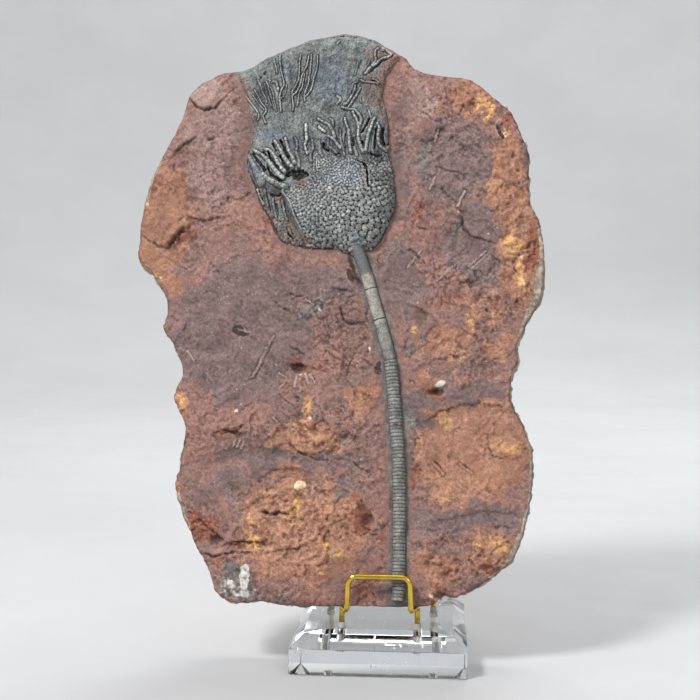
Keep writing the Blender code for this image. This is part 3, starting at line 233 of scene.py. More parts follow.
# Cracks in the face: half width, depth, line.
CRACKS = (
    (0.6, 1.2, ((-25.7, 172.5), (-23.2, 165), (-19.5, 162), (-14.5, 163), (-8.3, 160))),
    (0.6, 1.0, ((-27, 183), (-23, 182), (-19.5, 182.4))), (0.5, 0.8, ((-54.5, 148.7), (-45.7, 143.7))),
    (1.5, 1.6, ((-20.5, 203), (-18.5, 197), (-15.5, 190), (-12.5, 184))), (0.5, 0.7, ((-57, 181), (-50, 178), (-46, 180))),
    (0.5, 0.7, ((-8, 174), (-10.5, 168), (-8, 163))), (0.5, 0.7, ((-12, 143), (-7, 139), (-3.5, 137))),
    (0.5, 0.8, ((-33, 168), (-32, 158), (-31, 150))), (0.4, 0.6, ((-16, 148), (-19, 138), (-22, 128))),
    (0.7, 1.5, ((-119, 300), (-116, 295), (-110, 292), (-103, 293), (-97, 300))),
    (0.4, 0.7, ((-97, 300), (-93, 304), (-90, 306))),
    (0.6, 1.0, ((-128, 265), (-122, 270), (-113, 276))),
    (0.8, 1.0, ((-107, 273), (-103, 275))),
    (0.5, 0.8, ((-127, 259), (-127, 255), (-124, 253))),
    (1.1, 1.9, ((-130, 207.5), (-127, 211), (-124, 215), (-121, 218.5), (-117.5, 220))),
    (0.45, 0.9, ((-147, 217), (-140, 211), (-134, 207), (-129, 207))),
    (0.6, 0.9, ((-118, 226), (-108, 224), (-100, 226), (-95, 225.5))),
    (0.35, 0.5, ((-77, 131), (-71, 141), (-66, 150))),
    (0.5, 0.5, ((-83, 160.6), (-77, 159.2))),
    (0.8, 1.6, ((-69, 51), (-64, 50.3), (-59, 51.6), (-52, 50.6))),
    (0.7, 1.2, ((-93, 31), (-84, 34.5), (-75, 33), (-66, 34))),
    (0.7, 1.2, ((-106, 27), (-96, 25.5), (-84, 28), (-72, 28))),
    (0.5, 0.8, ((-65, 28), (-56, 30), (-48, 31), (-40, 34))),
    (0.6, 1.0, ((-107, 47), (-99, 41), (-94, 36), (-90, 34))),
    (0.7, 1.0, ((-99, 97.5), (-92, 98.5), (-87, 97), (-82, 102))),
    (0.4, 0.7, ((24, 105), (35, 112), (50, 116.5), (65, 115.5), (76, 112))),
    (0.45, 0.7, ((62, 98), (62.5, 92), (64, 87), (69, 84.5), (76, 86))),
    (0.5, 0.8, ((30, 84), (33, 80), (35.5, 77))),
    (0.5, 0.8, ((46, 81.5), (49, 80), (52, 77))),
    (0.4, 0.6, ((17, 81), (20, 85))),
    (0.45, 0.8, ((31, 246), (37, 240), (43, 235))),
    (0.6, 1.0, ((45, 228), (47, 220), (52, 215), (60, 213), (67, 210.5))),
    (0.6, 0.9, ((10, 205), (16, 206.5), (21, 202), (26, 197))),
    (0.4, 0.7, ((30, 257), (38, 254), (45, 253.5))),
    (0.5, 0.7, ((20, 291), (27, 286), (34, 282))),
    (0.4, 0.6, ((39, 275), (44, 271))),
    (0.4, 0.6, ((61, 206), (68, 200), (76, 196), (80, 192))),
    (0.4, 0.6, ((16, 224), (20, 220), (28, 219))),
    (0.4, 0.6, ((64, 44), (70, 46), (77, 44.5))),
    (0.5, 0.7, ((25, 99), (20, 94), (19, 89))),
    (0.5, 0.9, ((-17, 82), (-11, 77), (-6, 75))),
    (0.5, 0.8, ((-10, 43), (-4, 41.5), (3, 44))),
    (0.4, 0.7, ((-13, 39), (-6, 40.5), (0, 39))),
    (0.5, 0.8, ((-54, 92), (-47, 86), (-38, 83), (-28, 82))),
    (0.4, 0.6, ((30, 36), (36, 38), (38, 42))),
    (0.5, 0.7, ((38, 145), (44, 143), (50, 146))),
    (0.5, 0.7, ((-66, 176), (-60, 172), (-54, 168))),
    (0.4, 0.6, ((-104, 199), (-100, 196), (-97, 190))),
    (0.4, 0.6, ((-58, 118), (-50, 112), (-47, 104))),
    (0.5, 0.7, ((60, 20), (67, 24), (72, 30))),
    (0.4, 0.6, ((14, 130), (19, 128), (26, 127))),
)
# Steps in the face, high on the left of the line: height, reach, line.
STEPS = (
    (-1.2, 8, ((-26, 174), (-23.2, 165), (-19.5, 162), (-14.5, 163), (-7, 160))), (0.9, 5, ((-30, 184), (-18, 182))),
    (0.9, 6, ((-36, 176), (-33, 160), (-31, 148))), (-0.8, 5, ((-22, 150), (-24, 138), (-27, 126))),
    (1.0, 6, ((-22, 130), (-10, 122), (2, 117))), (0.9, 5, ((-60, 112), (-50, 104), (-36, 100))),
    (0.8, 4, ((-84, 45), (-76, 36), (-66, 33))), (-0.8, 5, ((56, 232), (66, 228), (76, 232))),
    (1.1, 6, ((64, 222), (70, 206), (74, 192))), (0.9, 5, ((12, 176), (26, 170), (38, 160))),
    (0.8, 5, ((40, 176), (54, 172), (66, 166))), (0.8, 5, ((16, 250), (30, 262), (48, 268))),
    (-0.8, 6, ((22, 292), (40, 300), (58, 296))), (0.8, 5, ((-120, 240), (-104, 236), (-92, 240))),
    (1.6, 7, ((-132, 205), (-128, 210), (-122, 217.5), (-115, 220.5))),
    (0.9, 5, ((-130, 262), (-121, 270), (-112, 276.5))),
    (0.7, 5, ((-119, 227), (-107, 224), (-94, 226))),
    (0.8, 6, ((22, 104), (35, 112), (50, 116), (65, 115), (77, 111))),
    (0.9, 6, ((-72, 70), (-62, 77), (-50, 78), (-38, 74))),
    (0.7, 5, ((29, 247), (44, 234))),
    (0.8, 6, ((44, 229), (52, 215), (68, 210))),
    (0.7, 5, ((8, 207), (27, 196))),
    (0.6, 4, ((28, 258), (46, 253))),
    (0.9, 5, ((-94, 31), (-80, 34), (-65, 33))),
    (0.9, 5, ((-107, 27), (-90, 25), (-71, 29))),
    (0.7, 4, ((-66, 28), (-52, 30), (-38, 34))),
    (1.5, 6, ((-70, 52), (-60, 51), (-51, 51))),
    (0.8, 5, ((-108, 47), (-98, 40), (-89, 33))),
    (0.8, 5, ((-101, 96), (-90, 98), (-80, 104))),
    (1.0, 5, ((-118, 299), (-113, 293), (-104, 292), (-97, 299))),
    (0.7, 5, ((20, 47), (40, 50), (60, 55), (84, 53))),
    (0.6, 6, ((-114, 82), (-80, 90), (-40, 86), (-8, 92))),
    (0.7, 4, ((62, 98), (62.5, 92), (64, 87), (69, 84.5))),
    (-0.6, 5, ((-25, 46), (-16, 40), (-6, 36), (4, 38))),
    (0.7, 5, ((20, 22), (34, 18), (46, 22), (60, 20))),
    (0.7, 5, ((-60, 103), (-48, 98), (-30, 100), (-20, 96))),
)
# Small stalks that lie in the face: half width, rise, how light, line.
RODS = (
    (1.0, .45, .32, ((-76.4, 130.5), (-73, 136), (-70, 142.5), (-67.5, 148))), (.6, .4, .25, ((-67, 149), (-64, 155))),
    (.7, .3, .5, ((-115.7, 145.5), (-110.8, 138.8))), (.9, .5, .6, ((43.2, 233), (45.4, 237.4), (47.6, 241.6))),
    (.6, .35, .5, ((50, 196.8), (60, 206.2))), (.5, .25, .4, ((52, 196), (61, 204.6))), (.6, .3, .4, ((32, 189), (42, 198))),
    (.5, .2, .3, ((36, 189), (44, 196))), (.7, .4, .6, ((29.6, 273), (31.6, 279.5))), (.7, .3, .5, ((27, 243), (29.6, 250))),
    (.9, .45, .15, ((30, 82), (36.4, 75))), (.8, .4, .15, ((46, 81), (53, 75.8))), (.7, .3, .5, ((-87, 89.5), (-85.6, 93.4))),
    (.7, .3, .5, ((-84.8, 88.8), (-83.2, 92.8))), (.7, .3, .5, ((-82.4, 88.2), (-80.6, 92))), (.5, .3, .4, ((-61, 133), (-56, 130))),
    (.7, .3, .6, ((-45.5, 133), (-43.5, 127))), (.7, .3, .5, ((-42.5, 132), (-39, 127))), (.7, .3, .5, ((-50.4, 131), (-51.5, 125))),
    (.6, .3, .4, ((-56, 129), (-60, 124))), (.7, .3, .5, ((-64, 107), (-61, 104))), (.6, .3, .5, ((-46, 177), (-41, 174))),
    (.6, .3, .5, ((14, 196), (22, 206))), (.6, .3, .4, ((64, 168), (66, 158))), (.6, .3, .5, ((-86, 158.5), (-79, 156.8))),
)
# Where the whole face is a little darker, like the zones below.
SHADES = {"shade": (
    (-136, 222, 14, 32, 0, .26), (-78, 86, 38, 8, 0, .22), (-84, 160, 36, 34, 0, .08), (-25, 170, 14, 30, 0, .1),
    (7, 250, 5, 42, 0, .17), (-110, 285, 20, 24, 0, .03), (24, 112, 12, 10, 0, .15), (60, 54, 26, 6, 0, .08),
    (44, 222, 22, 10, -20, .10), (-95, 60, 18, 14, 0, .08), (-20, 64, 10, 8, 0, .15),
)}
# Small hollows: centre, half sizes, depth.
PITS = (
    (-49.5, 136, 4.0, 2.6, 2.4), (-105, 274, 2.2, .9, .8), (32, 123, 4.4, 2.2, 2.2),
    (-95, 35, 4, 3, 1.4), (-7, 48, 3.5, 3, 1.6), (35, 6, 3, 2.4, 1.8), (60, 22, 2.6, 2.4, 1.2),
    (76, 264, 1.6, 1.4, 1.3), (79, 255, 1.0, 0.9, 0.9), (-84, 97, 3, 2, 1.2), (68, 21, 3, 2, 1.2),
    (74, 201, 3.2, 1.4, 1.0), (72, 192, 3.6, 3, 0.8), (22, 167, 4, 6, 0.8), (57, 117, 1.4, 1, 1.0),
)
# Lumps that stand out of the face, in the same way.
LUMPS = (
    (-71.5, 36.5, 6.5, 5.5, -1.5), (-47, 67, 4, 3, -1.1), (72, 91, 9, 6.8, -1.1), (75, 208, 8, 7, -1.2),
    (34, 127.4, 3.4, 1.8, -1.1), (-41, 109, 5, 6, -1.0), (-44, 93, 16, 9, -1.2), (-78, 11.5, 3.2, 9.5, -1.1),
    (-89, 8, 6, 8, -.8), (67, 34, 7, 6, -1.1), (-135, 232, 13, 22, -1.0), (84, 189, 6, 12, -1.0),
    (36, 62, 7, 4, -.6), (-7, 147, 1.2, 2.2, -.8), (-42, 171, 7, 5, -.9), (21, 30, 10, 13, -1.0),
    (-100, 72, 13, 9, -.8), (60, 262, 10, 8, -.9), (38, 285, 14, 6, -.8), (-30, 22, 13, 7, -1.0),
    (46, 196, 12, 8, -.8), (24, 168, 8, 12, -.8), (-26, 130, 9, 12, -.9), (62, 168, 10, 8, -.9),
)
# Colours of the stone by place: centre, half sizes, turn in degrees, strength.
ZONES = {
    "mauve": (
        (-84, 158, 42, 44, 0, 1), (-60, 83, 60, 8, 2, .62), (8, 250, 5, 42, 0, .62), (-95, 64, 24, 12, 10, .55),
        (54, 51, 36, 8, 4, .9), (46, 121, 30, 11, 0, .8), (24, 112, 12, 12, 0, .9),
        (56, 205, 22, 14, -20, 1), (60, 222, 22, 18, -10, .8), (40, 262, 30, 34, 10, .7),
        (10, 190, 14, 28, 0, .8), (-38, 186, 36, 16, 0, .7), (-92, 50, 14, 16, 0, .45),
        (40, 34, 12, 6, 0, .5), (-22, 66, 12, 10, 0, .8),
    ),
    "tan": (
        (54, 88, 34, 30, 0, 1), (-44, 42, 40, 34, 0, .95), (-134, 228, 17, 36, 4, 1),
        (-40, 94, 24, 11, -4, .8), (72, 252, 14, 30, 8, .9), (52, 300, 12, 14, 10, 1),
        (80, 210, 17, 36, 0, .9), (-62, 96, 8, 8, 0, .7), (36, 150, 24, 16, 20, .6),
        (66, 30, 18, 14, 30, .8), (-138, 204, 12, 12, 0, 1), (26, 128, 14, 6, 0, .6),
        (-120, 112, 7, 10, 0, .8), (70, 150, 12, 18, 0, .6), (-126, 186, 8, 14, 20, .6),
        (-20, 22, 30, 16, 0, .45), (30, 22, 22, 18, 0, .6), (-120, 66, 5, 10, 0, .8), (60, 174, 20, 16, 0, .55),
        (-10, 121, 12, 9, -15, .85), (-56, 76, 20, 5, 5, .6),
    ),
    "ochre": (
        (75, 209, 8, 7, -10, 1.1), (82, 192, 4.5, 11, 8, 1.1), (74, 219, 4, 3, 40, .8), (57, 291, 3.2, 9, 8, 1.1),
        (70.5, 276, 2.2, 4.5, 15, 1), (72, 91, 9, 7, 0, .8), (37, 106.5, 4.5, 5, 0, .75), (36, 62.5, 7, 4, 5, .75),
        (67, 34, 7, 7, -20, .95), (56, 36.5, 4, 3.4, 0, .85), (20.5, 86, 2, 6, 0, .6), (-41, 110, 5, 7, 10, .85),
        (-72, 36, 7, 6, 10, 1.1), (-73.5, 48, 2.6, 7, 0, .9), (-50, 54, 3.4, 9, 0, .85), (-33.5, 38, 4.5, 5, 20, 1),
        (-36, 92, 12, 8, 0, .5), (-9, 120, 7, 4, -15, .5), (-138, 236, 5, 12, 6, .45), (-132, 190, 6, 6, 0, .7),
        (54, 160, 3, 9, 0, .75), (16, 164, 2.4, 2, 0, 1), (46, 142, 8, 5, 30, .55), (-47, 66, 5, 5, 0, .6),
        (-90, 20, 12, 4, 0, .45), (66, 245, 9, 4, -35, .55), (80, 238, 5, 6, 0, .5), (-37, 16, 3, 2.5, 20, .8),
        (-26, 29, 5, 4, 20, .9), (-118, 116, 4, 5, 0, .9), (24, 150, 6, 5, 0, .5), (75, 16, 4, 3, 0, .5),
        (-94, 7, 3, 3, 0, .5), (66, 262, 6, 8, 0, .45), (78, 226, 4, 8, 0, .5), (62, 128, 8, 4, 0, .4),
        (-60, 60, 10, 4, 20, .45), (-24, 48, 8, 5, 0, .45),
    ),
    "cream": (
        (-47, 67.5, 3.2, 2.6, 30, .9), (57, 290, 1.4, 3.6, 8, .5), (70.5, 276, 1.4, 3, 15, .55),
        (44, 229, 1.2, 1.4, 0, .6), (61.6, 216, 1.0, 1.4, 10, .7), (-55, 82.4, .9, .7, 0, .7),
        (81, 203, 2.4, 3, 20, .5), (82, 187, 1.4, 6, 10, .6), (-42, 106, 1.6, 3, 10, .5),
        (30, 6, 2.2, 2.6, 20, .5), (64, 169, 1.2, 3.4, 0, .45), (68, 36, 3.4, 2.4, 10, .5),
        (-26, 29, 1.6, 1.4, 0, .5), (-143, 234, 1.4, 1.2, 0, .5), (-85.5, 110.4, .9, 1.4, 0, .7),
        (-104, 287, 1.4, .8, 0, .5), (-133, 189, 1.6, .7, 0, .6),
    ),
    "white": (
        (34, 127.4, 3.2, 1.6, 22, 1.3), (-78, 5, 2.8, 3, 0, 1), (-78, 8.5, 2.8, 3, 0, .9), (-78, 12, 2.8, 3, 0, 1.2),
        (-78, 15.5, 2.8, 3, 0, 1.3), (-78, 18.5, 2.6, 2.6, 0, 1.3), (-89, 8, 6, 7, 0, .52),
        (-83, 5, 3, 6, 0, .55), (-48, 173.5, 3.0, 1.6, 20, .42), (-37, 170, 1.6, 4, 25, .46), (-7, 147, 1.0, 1.8, 0, .7),
        (-49, 119, 2.4, 3, 20, .5), (-47.6, 132, 1.2, 1.2, 0, .7), (-72, 5, 3, 3, 0, .4),
    ),
    # Dark places: mostly painted shade in and beside cracks, pits and raised bits, with some dark spots of the stone.
    "dark": (
        (-17.5, 194, 2.2, 8, 25, .62), (-3, 135, 3, 5, 20, .75), (-55, 136.5, 5, .8, -10, .6), (-43.5, 171, 2, 6, 20, .5),
        (-82.2, 159.8, 4.0, 1.5, -14, 1), (-49, 136.8, 3.4, 2.2, 0, .75), (-49, 118, 4.6, 4.6, 20, .6),
        (-42, 169, 5, 5, 0, .45), (44, 225, 1.4, 6, 5, .7), (65.5, 275, 1.8, 5, 8, .8), (53, 187, 4, 4, 0, .55),
        (-92, 96, 6.5, 1.8, 8, .7), (-82, 102, 5, 2, 28, .5), (34, 122, 4, 1.8, 0, .5), (-84, 8, 5, 9, 0, .4),
        (25, 262, 3.4, 5, 0, .3), (-115, 95, 1.6, 4, 0, .6), (20, 140, 3, 5, 0, .35), (-4, 33, 3, 6, 0, .3),
    ),
    "grey": (
        (-42, 171, 9.5, 6.5, 10, .8), (-48, 122, 4, 5, 0, .75), (23, 260, 6, 11, 10, .62),
        (-85, 10, 12, 12, 0, 1), (-84, 50, 4, 12, 0, .56), (-38, 69, 12, 4, 0, .5), (-22, 96, 6, 9, 0, .6), (16, 104, 4.5, 11, 0, .95), (15, 148, 6, 10, 0, .6),
        (54, 196, 8, 7, -30, .6), (43.5, 217, 1.6, 7, 8, .6), (-22, 64, 7, 5, 0, .7), (-117, 95, 3, 5, 0, .6),
        (-118, 54, 4, 6, -20, .6), (40, 288, 12, 4, 0, .4), (66, 276, 3.2, 6, 10, .75), (-80, 3, 16, 4, 0, .7),
        (-60, 3, 14, 3, 0, .5), (5.5, 56, 2, 9, 0, .7), (-95, 245, 16, 10, 0, .3), (3, 8, 3, 7, 0, .6),
        (-12, 146.5, 2.2, 5, 0, .3), (20, 140, 6, 8, 0, .45), (20, 160, 7, 5, 0, .35), (-14, 2, 8, 3, 0, .4),
    ),
    "red": (
        (-8, 46, 5, 8, 10, .95), (-106, 42, 8, 8, 0, .95), (-26, 146, 12, 14, 0, .4), (2, 40, 5, 12, 0, .4), (-80, 31.6, 14, 2.2, 3, .85), (35.5, 6, 4, 4, 0, 1),
        (60, 22, 5, 5, 0, .8), (68, 20, 6, 4, 30, .8), (19, 228, 5, 7, 0, .65), (88, 208, 5, 18, 0, .7),
        (-50, 136, 5, 4, 0, 1), (31, 122.6, 6, 3, 10, 1), (-92, 97, 9, 3.5, 5, .8), (50, 296, 8, 12, 10, .45),
        (66, 178, 22, 7, 5, .5), (-136, 248, 10, 10, 0, .45), (-75, 216, 12, 8, 0, .4), (-118, 215, 6, 4, 40, .9),
        (40, 176, 14, 8, 0, .45), (64, 146, 10, 12, 0, .45), (-8, 8, 9, 6, 0, .55), (22, 74, 5, 8, 0, .6),
        (30, 24, 14, 20, 0, .45), (-14, 50, 10, 16, 0, .5), (-36, 62, 16, 5, 0, .35), (55, 67, 24, 5, 0, .35),
        (-66, 40, 14, 6, 0, .45), (-124, 262, 10, 8, 0, .4), (-44, 148, 8, 5, 0, .5), (-36, 134, 7, 9, 0, .45),
        (-99, 20, 6, 5, 0, .5), (72, 284, 8, 9, -30, .55), (6, 268, 4, 26, 0, .3), (-68, 232, 7, 8, 30, .55),
    ),
    "pink": (
        (-107, 302, 15, 10, -15, .9), (-105, 280, 22, 16, 0, .8), (-108, 250, 22, 20, 0, .65),
        (20, 296, 18, 16, 0, .65), (14, 270, 9, 36, 0, .5), (-2, 150, 5, 18, 10, .5), (-90, 58, 14, 16, 0, .5),
        (-60, 14, 30, 10, 0, .3), (44, 10, 18, 8, 0, .4), (66, 72, 14, 14, 0, .4), (-110, 268, 10, 10, 0, .5),
    ),
}


# ---------------------------------------------------------------- plane geometry

def smooth(t):
    t = np.clip(t, 0.0, 1.0)
    return t * t * (3 - 2 * t)


def bump(away, half):
    return np.sqrt(np.clip(1 - (away / half) ** 2, 0.0, 1.0))


def closed(loop):
    return np.vstack((loop, loop[:1]))


def to_line(u, v, line):
    """Distance of each point to a line, how far along it in mm, and which side: +1 is left."""
    best, along, side = np.full(u.shape, 1e9), np.zeros(u.shape), np.ones(u.shape)
    walked = 0.0
    for (ax, ay), (bx, by) in zip(line[:-1], line[1:]):
        dx, dy = bx - ax, by - ay
        size = math.hypot(dx, dy)
        t = np.clip(((u - ax) * dx + (v - ay) * dy) / size ** 2, 0, 1)
        away = np.hypot(u - ax - t * dx, v - ay - t * dy)
        near = away < best
        best = np.where(near, away, best)
        along = np.where(near, walked + t * size, along)
        side = np.where(near, np.sign(dx * (v - ay) - dy * (u - ax)), side)
        walked += size
    return best, along, side


def inside(u, v, loop):
    found = np.zeros(u.shape, bool)
    for (ax, ay), (bx, by) in zip(loop, np.roll(loop, -1, 0)):
        if ay != by:
            cross = ((ay > v) != (by > v)) & (u < ax + (v - ay) * (bx - ax) / (by - ay))
            found ^= cross
    return found


def spline(points, step, is_loop=False):
    """Points about step apart on a smooth curve through the given ones."""
    pts = [np.array(p, float) for p in points]
    padded = [pts[-1]] + pts + pts[:2] if is_loop else [pts[0]] + pts + [pts[-1]]
    line = [] if is_loop else [pts[0]]
    for a, b, c, d in zip(padded, padded[1:], padded[2:], padded[3:]):
        parts = max(1, round(float(np.linalg.norm(c - b)) / step))
        for i in range(1, parts + 1):
            t = i / parts
            line.append(((2 * b) + (c - a) * t + (2 * a - 5 * b + 4 * c - d) * t ** 2
                         + (3 * b - a - 3 * c + d) * t ** 3) / 2)
    return np.array(line)


def shifted(line, distance, is_loop=False):
    """The line moved to its left."""
    before = np.roll(line, 1, 0)
    after = np.roll(line, -1, 0)
    if not is_loop:
        before[0], after[-1] = line[0], line[-1]
    run = after - before
    size = np.linalg.norm(run, axis=1, keepdims=True)
    return line + distance * np.column_stack((-run[:, 1], run[:, 0])) / size


def swells(u, v, size, seed, octaves=1, w=0.0):
    """Smooth noise over the plane, about -1 to 1."""
    w = np.broadcast_to(w, u.shape)
    spots = np.column_stack((u / size, v / size, w / size + seed))
    if octaves == 1:
        return np.array([noise.noise(p) for p in spots])
    return np.array([noise.fractal(p, 0.9, 2.1, octaves) for p in spots])


def wobble(points, size, reach, seed):
    """The points pushed a little aside, so that an edge isn't drawn with a ruler."""
    push = np.column_stack([swells(points[:, 0], points[:, 1], size, seed + k, 2) for k in (0, 7)])
    return points + reach * push


def lattice(low, high, pitch, shake, seed):
    """A shaken triangular lattice over a box of the plane."""
    rng = np.random.default_rng(seed)
    rows = np.arange(low[1], high[1], pitch * math.sqrt(3) / 2)
    columns = np.arange(low[0], high[0], pitch)
    u = columns[None, :] + (np.arange(len(rows)) % 2)[:, None] * pitch / 2
    v = np.broadcast_to(rows[:, None], u.shape)
    spots = np.column_stack((u.ravel(), v.ravel()))
    return spots + rng.uniform(-shake * pitch, shake * pitch, spots.shape)


def chips(u, v, pitch, seed, tilt=0.35):
    """Heights of a face broken into small flat chips, each at its own level and slope."""
    sites = lattice((u.min() - pitch, v.min() - pitch), (u.max() + pitch, v.max() + pitch), pitch, .42, seed)
    tree = kdtree.KDTree(len(sites))
    for i, (a, b) in enumerate(sites):
        tree.insert((a, b, 0), i)
    tree.balance()
    rng = np.random.default_rng(seed + 1)
    level = rng.uniform(-0.5, 0.5, len(sites))
    slope = rng.uniform(-tilt, tilt, (len(sites), 2))
    wu = u + pitch * 0.35 * swells(u, v, pitch * 0.8, seed + 2)
    wv = v + pitch * 0.35 * swells(u, v, pitch * 0.8, seed + 9)
    own = np.array([tree.find((a, b, 0))[1] for a, b in zip(wu, wv)])
    from_site = np.column_stack((wu, wv)) - sites[own]
    return level[own] + (slope[own] * from_site).sum(1) * 2 / pitch


def facets(u, v, pitch, seed):
    """Heights of a face broken into flat facets that meet in sharp creases, about -1 to 1."""
    sites = lattice((u.min() - 2 * pitch, v.min() - 2 * pitch), (u.max() + 2 * pitch, v.max() + 2 * pitch),
                    pitch, .42, seed)
    tops = np.random.default_rng(seed + 1).uniform(-1, 1, len(sites))
    flat, _, tris, origins, *_ = delaunay_2d_cdt([Vector(p) for p in sites], [], [], 0, 1e-5)
    corners = [Vector((p.x, p.y, tops[olds[0]])) for p, olds in zip(flat, origins)]
    tree = BVHTree.FromPolygons(corners, tris)
    down = Vector((0, 0, -1))
    return np.array([9.0 - tree.ray_cast(Vector((a, b, 9.0)), down)[3] for a, b in zip(u, v)])


def sheet(outer, holes, pitch, seed):
    """Triangles filling the outline but not its holes: places, triangles, and each loop's indices."""
    spots = lattice(outer.min(0), outer.max(0), pitch, 0.2, seed)
    keep = inside(spots[:, 0], spots[:, 1], outer)
    for hole in holes:
        keep &= ~inside(spots[:, 0], spots[:, 1], hole)
    spots = spots[keep]
    for loop in (outer, *holes):
        tree = kdtree.KDTree(len(loop))
        for i, (a, b) in enumerate(loop):
            tree.insert((a, b, 0), i)
        tree.balance()
        spots = spots[[tree.find((a, b, 0))[2] > pitch * 0.55 for a, b in spots]]
    coords, edges, first = [Vector(p) for p in spots], [], len(spots)
    for loop in (outer, *holes):
        coords += [Vector(p) for p in loop]
        edges += [(first + i, first + (i + 1) % len(loop)) for i in range(len(loop))]
        first += len(loop)
    flat, _, tris, origins, *_ = delaunay_2d_cdt(coords, edges, [], 0, 1e-5)
    now_at = {old: new for new, olds in enumerate(origins) for old in olds}
    flat = np.array([tuple(p) for p in flat])
    tris = np.array([t for t in tris])
    rim_start = len(spots)
    on_rim = np.zeros(len(flat), bool)
    on_rim[[now_at[i] for i in range(rim_start, first)]] = True
    doubtful = on_rim[tris].all(1)
    middle = flat[tris].mean(1)
    good = np.ones(len(tris), bool)
    m = middle[doubtful]
    ok = inside(m[:, 0], m[:, 1], outer)
    for hole in holes:
        ok &= ~inside(m[:, 0], m[:, 1], hole)
    good[doubtful] = ok
    loops, first = [], rim_start
    for loop in (outer, *holes):
        loops.append(np.array([now_at[first + i] for i in range(len(loop))]))
        first += len(loop)
    return flat, tris[good], loops


def fill_loop(ring, ids):
    """Triangles across a flat loop of vertices with these indices."""
    n = len(ring)
    edges = [(i, (i + 1) % n) for i in range(n)]
    flat, _, tris, origins, *_ = delaunay_2d_cdt([Vector(p) for p in ring], edges, [], 0, 1e-5)
    back = {new: olds[0] for new, olds in enumerate(origins)}
    points = np.array([tuple(p) for p in flat])
    middle = points[np.array(tris)].mean(1)
    keep = inside(middle[:, 0], middle[:, 1], ring)
    return [tuple(ids[back[k]] for k in t) for t, good in zip(tris, keep) if good]


def averaged(values, tris, times):
    """The values evened out over neighbouring vertices."""
    pairs = np.vstack((tris[:, :2], tris[:, 1:], tris[:, ::2]))
    count = np.bincount(pairs.ravel(), minlength=len(values))
    for _ in range(times):
        total = (np.bincount(pairs[:, 0], values[pairs[:, 1]], len(values))
                 + np.bincount(pairs[:, 1], values[pairs[:, 0]], len(values)))
        values = (values + total) / (1 + count)
    return values


# ---------------------------------------------------------------- meshes

def in_world(u, v, w):
    spots = FOOT + np.multiply.outer(u, ALONG) + np.multiply.outer(v, UP) + np.multiply.outer(w, OUT)
    return spots * MM


def make_object(name, places, faces, material, attributes=None, smooth_shade=True):
    mesh = bpy.data.meshes.new(name)
    mesh.from_pydata([tuple(p) for p in places], [], [tuple(int(i) for i in f) for f in faces])
    mesh.update()
    for key, values in (attributes or {}).items():
        layer = mesh.attributes.new(key, "FLOAT", "POINT")
        layer.data.foreach_set("value", np.asarray(values, np.float32))
    if smooth_shade:
        mesh.shade_smooth()
    mesh.materials.append(material)
    thing = bpy.data.objects.new(name, mesh)
    bpy.context.scene.collection.objects.link(thing)
    return thing


def dressed(thing, slot, *nodes):
    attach(thing, "root")
    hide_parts(*nodes)
    return thing


# ---------------------------------------------------------------- materials

class Shader:
    """A material being wired up, one short call for each node."""

    def __init__(self, name):
        self.material = bpy.data.materials.new(name)
        self.material.use_nodes = True
        self.tree = self.material.node_tree
        self.surface = self.tree.nodes["Principled BSDF"]
        self.place = self.node("ShaderNodeTexCoord").outputs["Object"]

    def node(self, kind, sockets=(), **settings):
        made = self.tree.nodes.new(kind)
        for key, value in settings.items():
            setattr(made, key, value)
        for key, value in dict(sockets).items():
            self.set(made.inputs[key], value)
        return made

    def set(self, socket, value):
        if isinstance(value, bpy.types.NodeSocket):
            self.tree.links.new(value, socket)
        elif isinstance(value, tuple) and len(value) == 3 and socket.type == "RGBA":
            socket.default_value = (*value, 1.0)
        else:
            socket.default_value = value

    def put(self, **inputs):
        for key, value in inputs.items():
            self.set(self.surface.inputs[key.replace("_", " ")], value)

    def mask(self, name):
        return self.node("ShaderNodeAttribute", attribute_name=name).outputs["Fac"]

    def stretched(self, x, y, z):
        return self.node("ShaderNodeMapping", {"Vector": self.place, "Scale": (x, y, z)}).outputs[0]

    def slanted(self, degrees, long):
        """The place turned in the plane of x and z and stretched, so that a texture runs one way."""
        return self.node("ShaderNodeMapping", {
            "Vector": self.place, "Rotation": (0, math.radians(degrees), 0), "Scale": (long, 1, 1)},
            vector_type="TEXTURE").outputs[0]

    def noise(self, size_mm, detail=3.0, rough=0.55, warp=0.0, place=None):
        return self.node("ShaderNodeTexNoise", {
            "Vector": place or self.place, "Scale": 1000.0 / size_mm, "Detail": detail,
            "Roughness": rough, "Distortion": warp}).outputs["Fac"]

    def cells(self, size_mm, output="Distance", feature="F1", place=None):
        return self.node("ShaderNodeTexVoronoi", {
            "Vector": place or self.place, "Scale": 1000.0 / size_mm}, feature=feature).outputs[output]

    def math(self, operation, a, b=0.0, clamp=False):
        return self.node("ShaderNodeMath", {0: a, 1: b}, operation=operation, use_clamp=clamp).outputs[0]

    def band(self, value, low, high, to_low=0.0, to_high=1.0):
        return self.node("ShaderNodeMapRange", {
            "Value": value, "From Min": low, "From Max": high, "To Min": to_low, "To Max": to_high},
            interpolation_type="SMOOTHSTEP").outputs[0]

    def ragged(self, name, grain, spread=0.55, low=0.38, high=0.62):
        """A zone's mask with its edge broken up by noise."""
        shaken = self.math("MULTIPLY_ADD", grain, spread)
        shaken.node.inputs[2].default_value = -spread / 2
        return self.band(self.math("ADD", self.mask(name), shaken), low, high)

    def mix(self, share, a, b, kind="MIX"):
        made = self.node("ShaderNodeMix", data_type="RGBA", blend_type=kind)
        self.set(made.inputs[0], share)
        self.set(made.inputs[6], a)
        self.set(made.inputs[7], b)
        return made.outputs[2]

    def bump(self, height, strength, distance_mm, normal=None):
        sockets = {"Height": height, "Strength": strength, "Distance": distance_mm * MM}
        if normal:
            sockets["Normal"] = normal
        return self.node("ShaderNodeBump", sockets).outputs[0]


